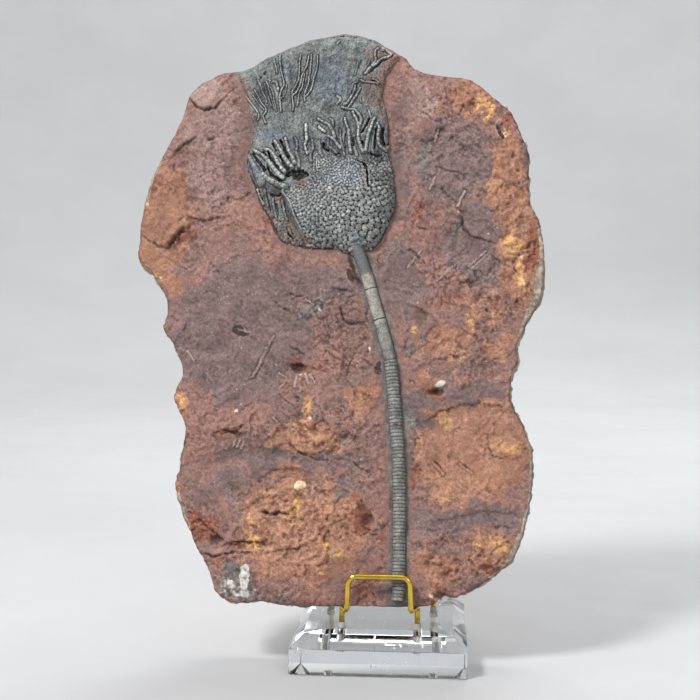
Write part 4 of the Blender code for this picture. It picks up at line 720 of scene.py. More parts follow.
def matrix_material():
    """Broken red limestone: a dull red-brown body with ochre, mauve, red and pale places, and painted shade in its
    hollows, cracks and fine troughs.
    """
    s = Shader("matrix")
    broad, middle, grain, dust = s.noise(34, 4), s.noise(7, 5, 0.6), s.noise(2.0, 4, 0.7), s.noise(1.0, 3, .7)
    edge, blots = s.noise(9, 7, .62, .5), s.noise(6, 6, .62, .7)

    def zone(name, spread=.9, low=.40, high=.60, by=edge):
        return s.ragged(name, by, spread, low, high)

    colour = s.mix(s.band(broad, .36, .66), (.318, .170, .136), (.226, .136, .119))
    colour = s.mix(s.band(s.noise(17, 6, .7, .4), .48, .66, 0, .65), colour, (.176, .102, .090))
    colour = s.mix(s.band(s.noise(5, 4, .6, 1.2), .54, .70, 0, .6), colour, (.345, .182, .130))
    colour = s.mix(zone("pink"), colour, s.mix(s.band(broad, .4, .6), (.350, .232, .196), (.285, .178, .155)))
    colour = s.mix(zone("mauve"), colour, s.mix(s.band(middle, .35, .65), (.240, .161, .150), (.174, .116, .107)))
    tan = s.mix(s.band(s.noise(13, 6, .62, .8), .38, .62), (.345, .166, .106), (.440, .228, .146))
    tan = s.mix(s.band(s.noise(21, 6, .72, .3), .50, .64, 0, .55), tan, (.285, .142, .104))
    colour = s.mix(zone("tan"), colour, tan)
    colour = s.mix(zone("red", 1.1), colour, s.mix(s.band(middle, .35, .65), (.330, .120, .075), (.195, .080, .055)))
    ochre = s.mix(s.band(s.math("ADD", s.mask("ochre"), s.math("MULTIPLY", grain, .5)), .85, 1.25),
                  (.440, .238, .128), (.740, .400, .155))
    colour = s.mix(zone("ochre", 1.3, .42, .66, blots), colour,
                   s.mix(s.band(middle, .36, .60, 0, .6), ochre, (.420, .215, .115)))
    colour = s.mix(s.math("MULTIPLY", zone("grey", 1.2, .38, .78), s.band(grain, .25, .55, .45, 1)), colour,
                   s.mix(s.band(middle, .35, .65), (.225, .200, .180), (.125, .113, .105)))
    colour = s.mix(zone("fan", .5), colour, s.mix(s.band(middle, .35, .65), (.215, .215, .200),
                                                  (.140, .145, .140)))
    beds = s.noise(3.4, 5, .6, .3, s.node("ShaderNodeMapping", {
        "Vector": s.place, "Rotation": (LEAN, 0, 0), "Scale": (8, 1, 8)}, vector_type="TEXTURE").outputs[0])
    rind = s.mix(s.band(beds, .36, .64), (.470, .390, .305), (.320, .245, .195))
    rind = s.mix(s.band(s.noise(30, 7, .64, .6), .48, .62, 0, .55), rind, (.300, .200, .162))
    rind = s.mix(s.band(s.noise(4.5, 6, .62, 1.0), .56, .72, 0, .38), rind, (.190, .140, .117))
    rind = s.mix(s.band(s.noise(8, 7, .64, .8), .55, .68, 0, .4), rind, (.560, .480, .385))
    colour = s.mix(zone("side", .6), colour, rind)
    colour = s.mix(zone("cream", 1.0, .36, .60, middle), colour, (.760, .540, .330))
    colour = s.mix(zone("white", 1.3, .42, .60, blots), colour, s.mix(s.band(grain, .35, .75), (.720, .670, .610),
                                                                     (.380, .350, .320)))
    # Dark places: mostly painted shade, with the painted shadow under the crown's lower edge and some dark spots of the
    # stone.
    colour = s.mix(zone("dark", 1.3, .40, .62), colour, s.mix(s.band(grain, .35, .65), (.085, .050, .042),
                                                             (.040, .026, .024)))
    colour = s.mix(s.band(s.mask("rod"), 0, .8), colour, (.440, .350, .290))
    coarse = s.band(s.mask("rough"), .15, 1.0, .25, .85)
    coarse = s.math("MULTIPLY", coarse, s.band(s.mask("tan"), .2, .7, 1, .45))
    runs = s.mix(s.band(s.noise(30, 2), .46, .54), s.noise(2.0, 4, .62, 1.6, s.slanted(38, 2.6)),
                 s.noise(2.0, 4, .62, 1.6, s.slanted(-28, 2.4)))
    # Pale strokes where the fine runs stand high: pale flecks of the stone, and painted light on the crests that the
    # bump raises.
    strokes_and_painted_light = s.math("MULTIPLY", s.band(runs, .56, .67), s.band(s.noise(11, 3), .42, .60, .15, 1))
    colour = s.mix(s.math("MULTIPLY", strokes_and_painted_light, s.math("MULTIPLY", coarse, .50)), colour,
                   s.mix(.5, colour, (.840, .640, .500)))
    # Painted shade in the low parts of the fine slanted runs that the bump raises.
    trough_shade = s.math("MULTIPLY", s.band(runs, .43, .33), coarse)
    colour = s.mix(s.math("MULTIPLY", trough_shade, .46), colour, s.mix(.7, colour, (.050, .026, .022)))
    flecks = s.math("MULTIPLY", s.band(s.cells(2.6), .12, .22, 1, 0), s.band(s.noise(9, 2), .52, .66))
    colour = s.mix(s.math("MULTIPLY", flecks, .50), colour, (.640, .500, .400))
    specks = s.math("MULTIPLY", s.band(s.cells(2.6, place=s.stretched(1.3, 1, 1)), .12, .22, 1, 0),
                    s.band(s.noise(6, 2), .52, .66))
    colour = s.mix(s.math("MULTIPLY", specks, .60), colour, (.060, .034, .030))
    for size, low, high in ((grain, .82, 1.18), (dust, .74, 1.28)):
        even = s.mix(s.band(size, .30, .70), (low,) * 3, (high,) * 3)
        colour = s.mix(1.0, colour, s.mix(coarse, s.mix(.45, even, (1.0, 1.0, 1.0)), even), "MULTIPLY")
    # Painted shade: the colour darkened where the face lies low, in the sides' recesses and in the back's hollows.
    hollow_shade = s.band(s.mask("hollow_shade"), .0, 1.0, 1.24, .54)
    colour = s.mix(1.0, colour, s.node("ShaderNodeCombineColor", {0: hollow_shade, 1: hollow_shade, 2: hollow_shade}).outputs[0],
                   "MULTIPLY")
    # Painted shade, near black, in the cracks, pits and the ditches beside the rods.
    colour = s.mix(s.math("MULTIPLY", s.mask("crack_shade"), .9, True), colour, (.040, .018, .014))
    height = s.math("ADD", s.math("MULTIPLY", grain, .60), s.math("MULTIPLY", runs, .50))
    height = s.math("ADD", height, s.math("MULTIPLY", dust, .30))
    normal = s.bump(height, s.band(coarse, .2, 1.0, .42, .72), .95)
    s.put(Base_Color=colour, Roughness=s.band(grain, .2, .8, .60, .90), Normal=normal)
    s.surface.inputs["Specular IOR Level"].default_value = 0.35
    return s.material


def crown_material(name, shine):
    """Grey calcite with painted highlight on crests and plates and painted shade near black between them, brown where
    stone clings.
    """
    s = Shader(name)
    broad, middle, grain, dust = s.noise(12, 3), s.noise(3, 4), s.noise(1.7, 4, .7), s.noise(.9, 3, .7)
    colour = s.mix(s.band(broad, .38, .62), (.180, .192, .184), (.130, .142, .138))
    colour = s.mix(s.ragged("blue", middle, .9, .3, .7), colour, s.mix(s.band(middle, .4, .6), (.150, .184, .200),
                                                                       (.122, .136, .152)))
    colour = s.mix(s.ragged("slate", middle, .7), colour, (.084, .092, .098))
    colour = s.mix(s.ragged("warm", middle, .8), colour, s.mix(s.band(grain, .35, .65), (.220, .172, .146),
                                                               (.135, .098, .084)))
    colour = s.mix(s.ragged("matrix", s.math("ADD", s.math("MULTIPLY", middle, .5), s.math("MULTIPLY", grain, .5)),
                            1.2, .34, .66), colour,
                   s.mix(s.band(grain, .35, .65), (.300, .185, .155), (.215, .130, .110)))
    colour = s.mix(s.band(middle, .50, .68, 0, .45), colour, (.070, .076, .072))
    # Painted shade at the feet of the ridges, in the plates' seams and along the lower left edge.
    colour = s.mix(s.band(s.mask("foot"), 0, 1, 0, .85), colour, (.030, .031, .030))
    # Painted highlight on the ridges' crests and the plates' domes.
    colour = s.mix(s.band(s.mask("crest"), .10, 1.0, 0, .88), colour,
                   s.mix(s.band(grain, .3, .7), (.500, .500, .470), (.290, .300, .285)))
    # White bits of calcite, and painted highlight on the brightest crests and the fan's top edge.
    colour = s.mix(s.band(s.mask("white"), .3, 1.0), colour, (.520, .520, .490))
    # Painted shade, near black, in the deep gaps, the cave and the pits between plates.
    colour = s.mix(s.band(s.mask("gap"), 0, .9, 0, 1), colour, s.mix(s.band(grain, .4, .7), (.012, .010, .009),
                                                                     (.050, .040, .032)))
    specks = s.math("MULTIPLY", s.band(s.cells(1.9), .12, .26, 1, 0), s.band(s.noise(4, 2), .40, .56))
    colour = s.mix(s.math("MULTIPLY", specks, .65), colour, (.045, .047, .044))
    lights = s.math("MULTIPLY", s.band(s.cells(1.8, place=s.stretched(1.2, .9, 1)), .12, .24, 1, 0),
                    s.band(s.noise(5, 2), .42, .58))
    colour = s.mix(s.math("MULTIPLY", lights, .55), colour, (.400, .410, .385))
    # The colour scaled by the calcite's tone and by the painted light and shade.
    shading_tint = s.band(s.mask("tone_and_shading"), 0, 1, .60, 1.42)
    colour = s.mix(1.0, colour, s.node("ShaderNodeCombineColor", {0: shading_tint, 1: shading_tint, 2: shading_tint}).outputs[0],
                   "MULTIPLY")
    for size, low, high in ((grain, .62, 1.40), (dust, .58, 1.46)):
        colour = s.mix(1.0, colour, s.mix(s.band(size, .30, .70), (low,) * 3, (high,) * 3), "MULTIPLY")
    height = s.math("ADD", s.math("MULTIPLY", grain, .7), s.math("MULTIPLY", dust, .45))
    s.put(Base_Color=colour, Roughness=s.band(grain, .2, .8, shine, shine + .22),
          Normal=s.bump(height, .9, .75))
    s.surface.inputs["Specular IOR Level"].default_value = 0.5
    return s.material


def stem_material():
    """The stem's grey calcite, darker in the grooves between its rings, with painted shade on its sides where they turn
    down into the stone.
    """
    s = Shader("stem")
    middle, grain, dust = s.noise(5, 4), s.noise(1.5, 4, .65), s.noise(0.8, 2)
    colour = s.mix(s.band(middle, .36, .64), (.290, .288, .262), (.165, .165, .150))
    colour = s.mix(s.ragged("smooth", middle, .3), colour, s.mix(s.band(middle, .4, .6), (.425, .396, .345),
                                                                 (.300, .276, .235)))
    colour = s.mix(s.ragged("neck", middle, .5), colour, s.mix(s.band(grain, .35, .65), (.190, .192, .185),
                                                               (.100, .104, .104)))
    colour = s.mix(s.band(s.mask("groove"), .05, .9, 0, .92), colour, (.055, .052, .046))
    # Painted shade on the stem's sides, where they turn down into its channel.
    colour = s.mix(s.band(s.mask("flank"), 0, 1, 0, .78), colour, (.085, .076, .066))
    colour = s.mix(s.ragged("scar", grain, .4), colour, (.090, .085, .075))
    for size, low, high in ((grain, .74, 1.26), (dust, .74, 1.26)):
        colour = s.mix(1.0, colour, s.mix(s.band(size, .30, .70), (low,) * 3, (high,) * 3), "MULTIPLY")
    height = s.math("ADD", s.math("MULTIPLY", grain, .7), s.math("MULTIPLY", dust, .3))
    s.put(Base_Color=colour, Roughness=s.band(grain, .2, .8, .42, .62), Normal=s.bump(height, .6, .35))
    return s.material


def acrylic_material():
    """Clear acrylic, finely scratched, with a trace of tint where one looks through a lot of it."""
    s = Shader("acrylic")
    scratches = [s.band(s.noise(1.0, 1, place=s.stretched(*stretch)), .70, .76)
                 for stretch in ((.03, 1.2, .6), (.9, .05, .7), (.5, .6, .04))]
    lines = s.math("MAXIMUM", s.math("MAXIMUM", scratches[0], scratches[1]), scratches[2])
    lines = s.math("MULTIPLY", lines, s.band(s.noise(14, 2), .46, .62))
    wavy = s.noise(26, 2)
    s.put(Base_Color=(1.0, 1.0, 1.0), Roughness=s.math("MULTIPLY", lines, .35),
          Normal=s.bump(lines, .18, .05, s.bump(wavy, .06, .6)))
    s.surface.inputs["Transmission Weight"].default_value = 1.0
    s.surface.inputs["IOR"].default_value = 1.49
    absorb = s.node("ShaderNodeVolumeAbsorption")
    absorb.inputs["Color"].default_value = (.80, .92, .95, 1.0)
    absorb.inputs["Density"].default_value = 2.2
    s.tree.links.new(absorb.outputs[0], s.tree.nodes["Material Output"].inputs["Volume"])
    return s.material


def brass_material():
    """Polished brass wire with draw lines, faint tarnish and small nicks."""
    s = Shader("brass")
    tarnish, smudge = s.noise(16, 4, .6), s.noise(2.2, 3)
    lines = s.noise(0.5, 2, place=s.stretched(1, 1, .12))
    colour = s.mix(s.band(tarnish, .42, .70), (.780, .540, .085), (.600, .380, .060))
    colour = s.mix(s.band(smudge, .62, .76, 0, .4), colour, (.400, .240, .050))
    rough = s.math("ADD", s.band(tarnish, .3, .7, .10, .24), s.band(smudge, .5, .8, 0, .14))
    s.put(Base_Color=colour, Roughness=rough, Normal=s.bump(lines, .12, .05, s.bump(smudge, .15, .08)))
    s.surface.inputs["Metallic"].default_value = 1.0
    return s.material


def nylon_material():
    """Milky nylon tube, a little yellowed and scuffed."""
    s = Shader("nylon")
    middle, grain = s.noise(3, 3), s.noise(0.6, 3)
    colour = s.mix(s.band(middle, .35, .65), (.880, .850, .760), (.780, .720, .600))
    s.put(Base_Color=colour, Roughness=s.band(grain, .3, .7, .30, .52), Normal=s.bump(grain, .25, .08))
    s.surface.inputs["Transmission Weight"].default_value = 0.35
    s.surface.inputs["IOR"].default_value = 1.53
    s.surface.inputs["Subsurface Weight"].default_value = 0.3
    s.surface.inputs["Subsurface Radius"].default_value = (.002, .0015, .001)
    s.surface.inputs["Subsurface Scale"].default_value = 0.5
    return s.material


# ---------------------------------------------------------------- outlines

def stem_edge(half, step=1.5):
    """One side of the stem's channel, from the calyx down: half is positive on the right."""
    middle = spline(STEM_LINE, step)
    middle[-1] = (middle[-1][0], middle[-1][1] - GAP)
    return shifted(middle, half)


def pocket_loop(half, step):
    """The fossil's whole outline, clockwise from the top."""
    right = spline(CROWN_RIGHT + CALYX_RIGHT, step)
    left = spline(CALYX_LEFT + CROWN_LEFT + CROWN_RIGHT[:1], step)[:-1]
    return np.vstack((right, stem_edge(half), stem_edge(-half)[::-1], left))


POCKET = pocket_loop(STEM_RADIUS + GAP, 3.0)


def zone_value(name, u, v, table=ZONES):
    """How much of this colour there is at each point: a half at a zone's edge, more within it."""
    total = np.zeros(u.shape)
    for cu, cv, ru, rv, turn, strength in table[name]:
        a = math.radians(turn)
        x = ((u - cu) * math.cos(a) + (v - cv) * math.sin(a)) / ru
        y = ((v - cv) * math.cos(a) - (u - cu) * math.sin(a)) / rv
        total = np.maximum(total, strength * smooth((1.75 - np.hypot(x, y)) / 1.5))
    return total


def astray(u, v, sizes, seed):
    """The places shaken at several (size, reach) at once, so that what is drawn there is ragged."""
    wu, wv = u, v
    for k, (size, reach) in enumerate(sizes):
        wu = wu + reach * swells(u, v, size, seed + 5 * k, 2)
        wv = wv + reach * swells(u, v, size, seed + 5 * k + 2, 2)
    return wu, wv


def flakes(u, v, turn, pitch, seed, ragged=1.3):
    """A saw-toothed field: overlapping flakes that rise gently and end in a sharp step."""
    a = math.radians(turn)
    run = (u * math.cos(a) + v * math.sin(a)) / pitch
    run = run + ragged * swells(u, v, pitch * 1.9, seed, 3) + .3 * swells(u, v, pitch * .4, seed + 4, 2)
    part = run - np.floor(run)
    return part * smooth((1 - part) / .10) - .45


def cast(node, u, v, from_w, way):
    """The w of a CAD node's surface at each point, seen from far out along w."""
    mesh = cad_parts[node].data
    tree = BVHTree.FromPolygons([p.co for p in mesh.vertices], [tuple(f.vertices) for f in mesh.polygons])
    starts = in_world(u, v, np.full(u.shape, from_w))
    direction = Vector(OUT * way)
    found = np.full(u.shape, np.nan)
    for i, start in enumerate(starts):
        hit = tree.ray_cast(Vector(start), direction)
        if hit[0] is not None:
            found[i] = from_w + way * hit[3] / MM
    return found


# ---------------------------------------------------------------- slab

def face_details(u, v, w, tris, to_pocket, to_rim, zones):
    """The broken surface on top of the slab's main swells, and a mask of painted shade in its cracks, pits and the
    ditches beside its rods.
    """
    calm = 1 - np.exp(-(to_pocket / 3.2) ** 2)
    rough = (.40 + .35 * zones["ochre"] + .14 * zones["tan"] + .45 * zones["red"] + .4 * zones["grey"]
             - .34 * zones["mauve"] - .10 * zones["pink"]
             + .45 * zone_value("a", u, v, {"a": ((44, 262, 26, 34, 0, .75), (52, 205, 24, 22, 0, .6), (-24, 172, 14, 16, 0, 1), (-34, 96, 30, 14, 0, 1), (-10, 196, 12, 8, 0, 1),
                                                  (72, 200, 14, 26, 0, .9), (-48, 62, 34, 12, 0, .8), (60, 240, 30, 14, 0, .4),
                                                  (-46, 38, 36, 22, 0, .8), (40, 24, 30, 16, 0, .6))}))
    rough = rough - .5 * zone_value("calm", u, v, {"calm": ((-136, 222, 14, 32, 0, 1), (56, 88, 30, 22, 0, .35), (72, 90, 9, 6, 0, .6))})
    rough = np.clip(rough + .35 * swells(u, v, 22, 4, 2), .2, 1.1) * (.25 + .75 * calm)
    wu, wv = astray(u, v, ((8, 1.4), (2.5, .5)), 51)
    fine = 1 - .6 * zones["tan"]
    w = w + rough * (1.15 * facets(wu, wv, 12.5, 21) + .85 * facets(wu, wv, 6.2, 33)
                     + .62 * fine * facets(wu, wv, 3.0, 37) + .25 * chips(u, v, 7.0, 41, .5))
    w += 1.25 * rough * zones["tan"] * flakes(wu, wv, -68, 11, 141, 1.1) * calm
    w += .75 * rough * zones["tan"] * flakes(wu, wv, -20, 7.5, 143, 1.2) * calm
    w += (.12 + .14 * rough) * (1 - .5 * zones["tan"]) * swells(u, v, 2.2, 61, 2)
    leaning = smooth((swells(u, v, 40, 63, 2) + .25) / .4)
    w += (.30 + 1.0 * rough) * leaning * flakes(u, v, -52, 15, 67) * calm
    w += (.25 + .9 * rough) * (1 - leaning) * flakes(u, v, -112, 12, 69) * calm
    w += (.15 + .60 * rough) * flakes(u, v, 70, 6.5, 73) * calm
    w += (.06 + .62 * rough * fine) * flakes(u, v, -75, 4.6, 75, 1.7) * calm
    w += (.04 + .42 * rough * fine) * flakes(u, v, -30, 3.2, 81, 1.4) * calm
    wu, wv = astray(u, v, ((4.5, .9), (1.6, .3)), 71)
    for rise, reach, line in STEPS:
        away, along, side = to_line(wu, wv, line)
        t = along / sum(math.dist(a, b) for a, b in zip(line, line[1:]))
        ends = smooth(t / .15) * smooth((1 - t) / .15)
        w += rise / 2 * side * smooth(away / .45) * np.exp(-away / reach) * ends
    # Painted shade in the cracks, and below in the pits and beside the rods.
    crack_shade = np.zeros(u.shape)
    width = .8 + .7 * swells(u, v, 3.0, 91)
    for half, depth, line in CRACKS:
        away, along, _ = to_line(wu, wv, line)
        t = along / sum(math.dist(a, b) for a, b in zip(line, line[1:]))
        ends = .35 + .65 * smooth(t / .2) * smooth((1 - t) / .2)
        cut = np.exp(-(away / (half * width * 1.15)) ** 2) * ends
        crack_shade = np.maximum(crack_shade, cut * min(1, .35 + depth / 2))
        w -= depth * cut
    rod = np.zeros(u.shape)
    su, sv = astray(u, v, ((2.5, .25),), 161)
    for half, rise, light, line in RODS:
        away, along, _ = to_line(su, sv, line)
        top = bump(away, half)
        ditch = np.exp(-((away - half - .25) / .55) ** 2) * (away > half * .8)
        w += rise * top - rise * .9 * ditch
        rod = np.maximum(rod, light * top)
        crack_shade = np.maximum(crack_shade, .28 * ditch * (rise > .35))
    for cu, cv, ru, rv, depth in PITS + LUMPS:
        fall = np.exp(-(((wu - cu) / ru) ** 2 + ((wv - cv) / rv) ** 2) ** 2)
        w -= depth * fall
        crack_shade = np.maximum(crack_shade, .38 * fall * (depth > 0))
    small = lattice((-148, -2), (94, 338), 11, .5, 17)
    rng = np.random.default_rng(29)
    for cu, cv in small[rng.random(len(small)) < .5]:
        near = (abs(u - cu) < 3) & (abs(v - cv) < 3)
        if near.any():
            size = rng.uniform(.7, 1.7)
            fall = np.exp(-(((wu[near] - cu) / size) ** 2 + ((wv[near] - cv) / (.7 * size)) ** 2))
            share = np.clip(rough[near] * 1.4, 0, 1) * (1 - .6 * zones["tan"][near])
            w[near] -= rng.uniform(.3, .9) * fall * share
            crack_shade[near] = np.maximum(crack_shade[near], .3 * fall * share)
    edge = np.clip(1 - to_rim / (2.2 + 1.2 * swells(u, v, 6, 95)), 0, 1)
    w -= (.8 - .5 * (v < 6) * (abs(u) < 60)) * edge ** 2
    at_loop = smooth((32 - abs(u)) / 6) * smooth((28 - v) / 8)
    return w + (np.minimum(w, .4) - w) * at_loop, crack_shade, rod, rough


def make_slab():
    outline = shifted(spline(SLAB_OUTLINE, 1.15, True), -0.8, True)
    outline[:, 1] -= .8 * smooth((3 - outline[:, 1]) / 3) * (abs(outline[:, 0]) < 60)
    free = np.where((outline[:, 1] < 3) & (abs(outline[:, 0]) < 34), 0.35, 1.0)[:, None]
    outline = outline + free * (wobble(outline, 8, .75, 3) - outline) + free * (wobble(outline, 2.6, .45, 5)
                                                                             - outline)
    hole = wobble(shifted(pocket_loop(STEM_RADIUS + GAP - .2, 1.1), -0.9, True), 2.5, .2, 9)
    flat, tris, (rim, inner) = sheet(outline, [hole], .96, 2)
    u, v = flat[:, 0], flat[:, 1]
    to_pocket = to_line(u, v, closed(POCKET))[0]
    to_rim = to_line(u, v, closed(np.array(SLAB_OUTLINE, float)))[0]
    base = cast("matrix_slab", u, v, 30.0, -1)
    low = trough(v)
    lost = np.isnan(base) | (base < -3.6)
    base = np.where(lost & (to_pocket > 2), -1.3, base)
    base = np.where((to_pocket < 1.7) | np.isnan(base), low, base)
    base = averaged(base, tris, 9)
    broad = astray(u, v, ((26, 6.5), (9, 3.2), (3, 1.1)), 101)
    small = astray(u, v, ((4.5, 1.1), (1.7, .55)), 121)
    zones = {name: zone_value(name, *(small if name in ("cream", "white") else broad)) for name in ZONES}
    w, crack_shade, rod, rough = face_details(u, v, base, tris, to_pocket, to_rim, zones)
    w[inner] = np.minimum(w[inner], low[inner] - .2)
    # Painted shade in the hollows: the mask is higher where the face lies below its neighbours, and higher still in the
    # SHADES places.
    near, evened = averaged(w, tris, 2), averaged(w, tris, 14)
    hollow_shade = (.38 + (near - w) * (1 - .5 * zones["tan"])
              + (evened - w) / 3.4 * np.clip(to_pocket / 5, 0, 1))
    hollow_shade = np.clip(hollow_shade + zone_value("shade", *broad, SHADES), 0, 1)
    margin = to_line(u, v, stem_edge(0))[0] - STEM_RADIUS
    by_stem = smooth((3.1 + 1.3 * swells(u, v, 9, 44) - margin) / 1.6) * (v < 206) * .95
    by_fan = smooth((3.6 - to_pocket) / 3.0) * smooth((v - 306) / 8) * smooth((4 - u) / 6) * 1.1
    by_fan = np.maximum(by_fan, smooth((1.6 - to_pocket) / 1.2) * .60 * (v > 204) * (v < 292))
    # Painted shadow on the stone along the crown's lower edge, added to the dark places.
    under = smooth((1.5 - to_pocket) / 1.2) * (v > 204) * smooth((256 - v) / 10) * (.45 + .35 * (u < -30))
    zones["dark"] = np.maximum(zones["dark"], under)
    zones["grey"] = np.maximum(zones["grey"], by_stem)
    width = (1.3 + 1.2 * ((u > 70) & (v > 20) & (v < 42)) + 3.4 * np.exp(-((v - 184) / 20) ** 2) * (u > 60)
             + .5 * swells(u, v, 8, 47))
    right_rim = (u > 60) & (((v > 16) & (v < 96)) | ((v > 156) & (v < 222)))
    left_rim = (u < -100) & (((v > 40) & (v < 62)) | ((v > 232) & (v < 262)))
    side = smooth((width + 1.0 - to_rim) / .8) * np.where(right_rim | left_rim, 1.0, .15)
    layers = {**zones, "fan": by_fan, "side": side, "hollow_shade": hollow_shade, "crack_shade": crack_shade, "rod": rod, "rough": rough}

    places = [in_world(u, v, w)]
    faces = [tuple(t) for t in tris]
    count = len(u)
    # The sides: rings of points from the rim to the back.
    rim_u, rim_v, rim_w = u[rim], v[rim], w[rim]
    loop = np.column_stack((rim_u, rim_v))
    run = sum(np.roll(loop, -k, 0) - np.roll(loop, k, 0) for k in (2, 4, 6))
    outward = np.column_stack((-run[:, 1], run[:, 0])) / np.linalg.norm(run, axis=1, keepdims=True)
    seat = np.where((rim_v < 4) & (abs(rim_u) < 34), 0.15, 1.0)
    levels = 17
    last, extra, ring_w = rim, [], None
    for k in range(1, levels + 1):
        t = k / levels
        ring_w = rim_w + (-28.4 - rim_w) * t
        reach = np.interp(ring_w, (-30, -27.4, -21, -11, -2.6, 0), (-1.2, .3, 1.4, 1.2, .5, 0))
        rugged = (.9 * swells(rim_u, rim_v, 9, 13, 3, ring_w) + .55 * chips_3d(rim_u, rim_v, ring_w, 6.0, 7)
                  + .3 * swells(rim_u, rim_v, 2.4, 23, 2, ring_w)
                  + .75 * swells(rim_u, rim_v, 19, 27, 2, ring_w * 5.5))
        fade = min(1.0, t * 5)
        push = (reach + rugged * fade) * seat
        ring = np.column_stack((rim_u, rim_v)) + outward * push[:, None]
        seated = (rim_v < 6) & (abs(rim_u) < 36)
        ring[seated, 1] = np.maximum(ring[seated, 1], (-1.65 - ring_w[seated] * math.sin(LEAN)) / math.cos(LEAN))
        ids = np.arange(count, count + len(rim))
        count += len(rim)
        places.append(in_world(ring[:, 0], ring[:, 1], ring_w))
        faces += [(last[i], last[j], ids[j], ids[i]) for i, j in around(len(rim))]
        extra.append((ring, ring_w, rugged))
        last = ids
    # The back, a little inside the solid's.
    ring = np.column_stack((rim_u, rim_v)) - outward * 1.9
    flat_b, tris_b, (edge_b,) = sheet(ring, [], 3.1, 6)
    ub, vb = flat_b[:, 0], flat_b[:, 1]
    back = cast("matrix_slab", ub, vb, -60.0, 1)
    back = averaged(np.where(np.isnan(back), -28.8, back), tris_b, 3)
    held = 1 - .85 * np.exp(-((vb - 155) / 12) ** 2) * (abs(ub) < 40)
    wb = back + .35 + held * (.75 * (1 + facets(ub, vb, 27, 51)) + .45 * (1 + facets(ub, vb, 12, 53)))
    wb += held * (.45 * np.clip(chips(ub, vb, 11, 41), -.6, .7) + .30 * swells(ub, vb, 5, 31, 3))
    wb = np.maximum(wb, back + .1)
    wb[edge_b] = np.maximum(wb[edge_b], -29.2)
    places.append(in_world(ub, vb, wb))
    faces += [tuple(count + i for i in t[::-1]) for t in tris_b]
    ids = count + edge_b
    faces += [(last[i], last[j], ids[j], ids[i]) for i, j in around(len(rim))]
    count += len(ub)
    # The pocket under the fossil.
    ids = np.arange(count, count + len(inner))
    places.append(in_world(u[inner], v[inner], np.full(len(inner), -4.25)))
    faces += [(inner[j], inner[i], ids[i], ids[j]) for i, j in around(len(inner))]
    faces += fill_loop(np.column_stack((u[inner], v[inner])), ids)
    count += len(inner)
    total = {}
    grown = count - len(u)
    for key, values in layers.items():
        rest = np.zeros(grown)
        if key == "side":
            rest[:] = .95
        if key == "rough":
            rest[:] = .6
        # On the sides and the back the painted-shade mask is higher where they sink in.
        if key == "hollow_shade":
            roughs = np.concatenate([np.clip(.45 - .30 * r, .1, .9) for _, _, r in extra])
            rest[:] = .45
            rest[:len(roughs)] = roughs
            rest[len(roughs):len(roughs) + len(ub)] = np.clip(.45 + (averaged(wb, tris_b, 3) - wb) / -1.2, 0, 1)
        total[key] = np.concatenate((values, rest))
    spots = np.vstack(places)
    least, most = (np.array(c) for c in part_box("matrix_slab"))
    spots = np.clip(spots, least + 2e-5, most - 2e-5)
    slab = make_object("slab_stone", spots, faces, matrix_material(), total)
    return dressed(slab, "matrix", "matrix_slab")


def around(n):
    return [(i, (i + 1) % n) for i in range(n)]


def chips_3d(u, v, w, pitch, seed):
    """Chip levels for the slab's side, from the nearest of a shaken set of points in space."""
    spots = np.column_stack((u, v, w * 1.6)) / pitch
    return np.array([noise.cell(Vector(noise.noise_vector(p)) * .6 + Vector(p) + Vector((seed,) * 3))
                     for p in spots]) * 2 - 1


# ---------------------------------------------------------------- crown

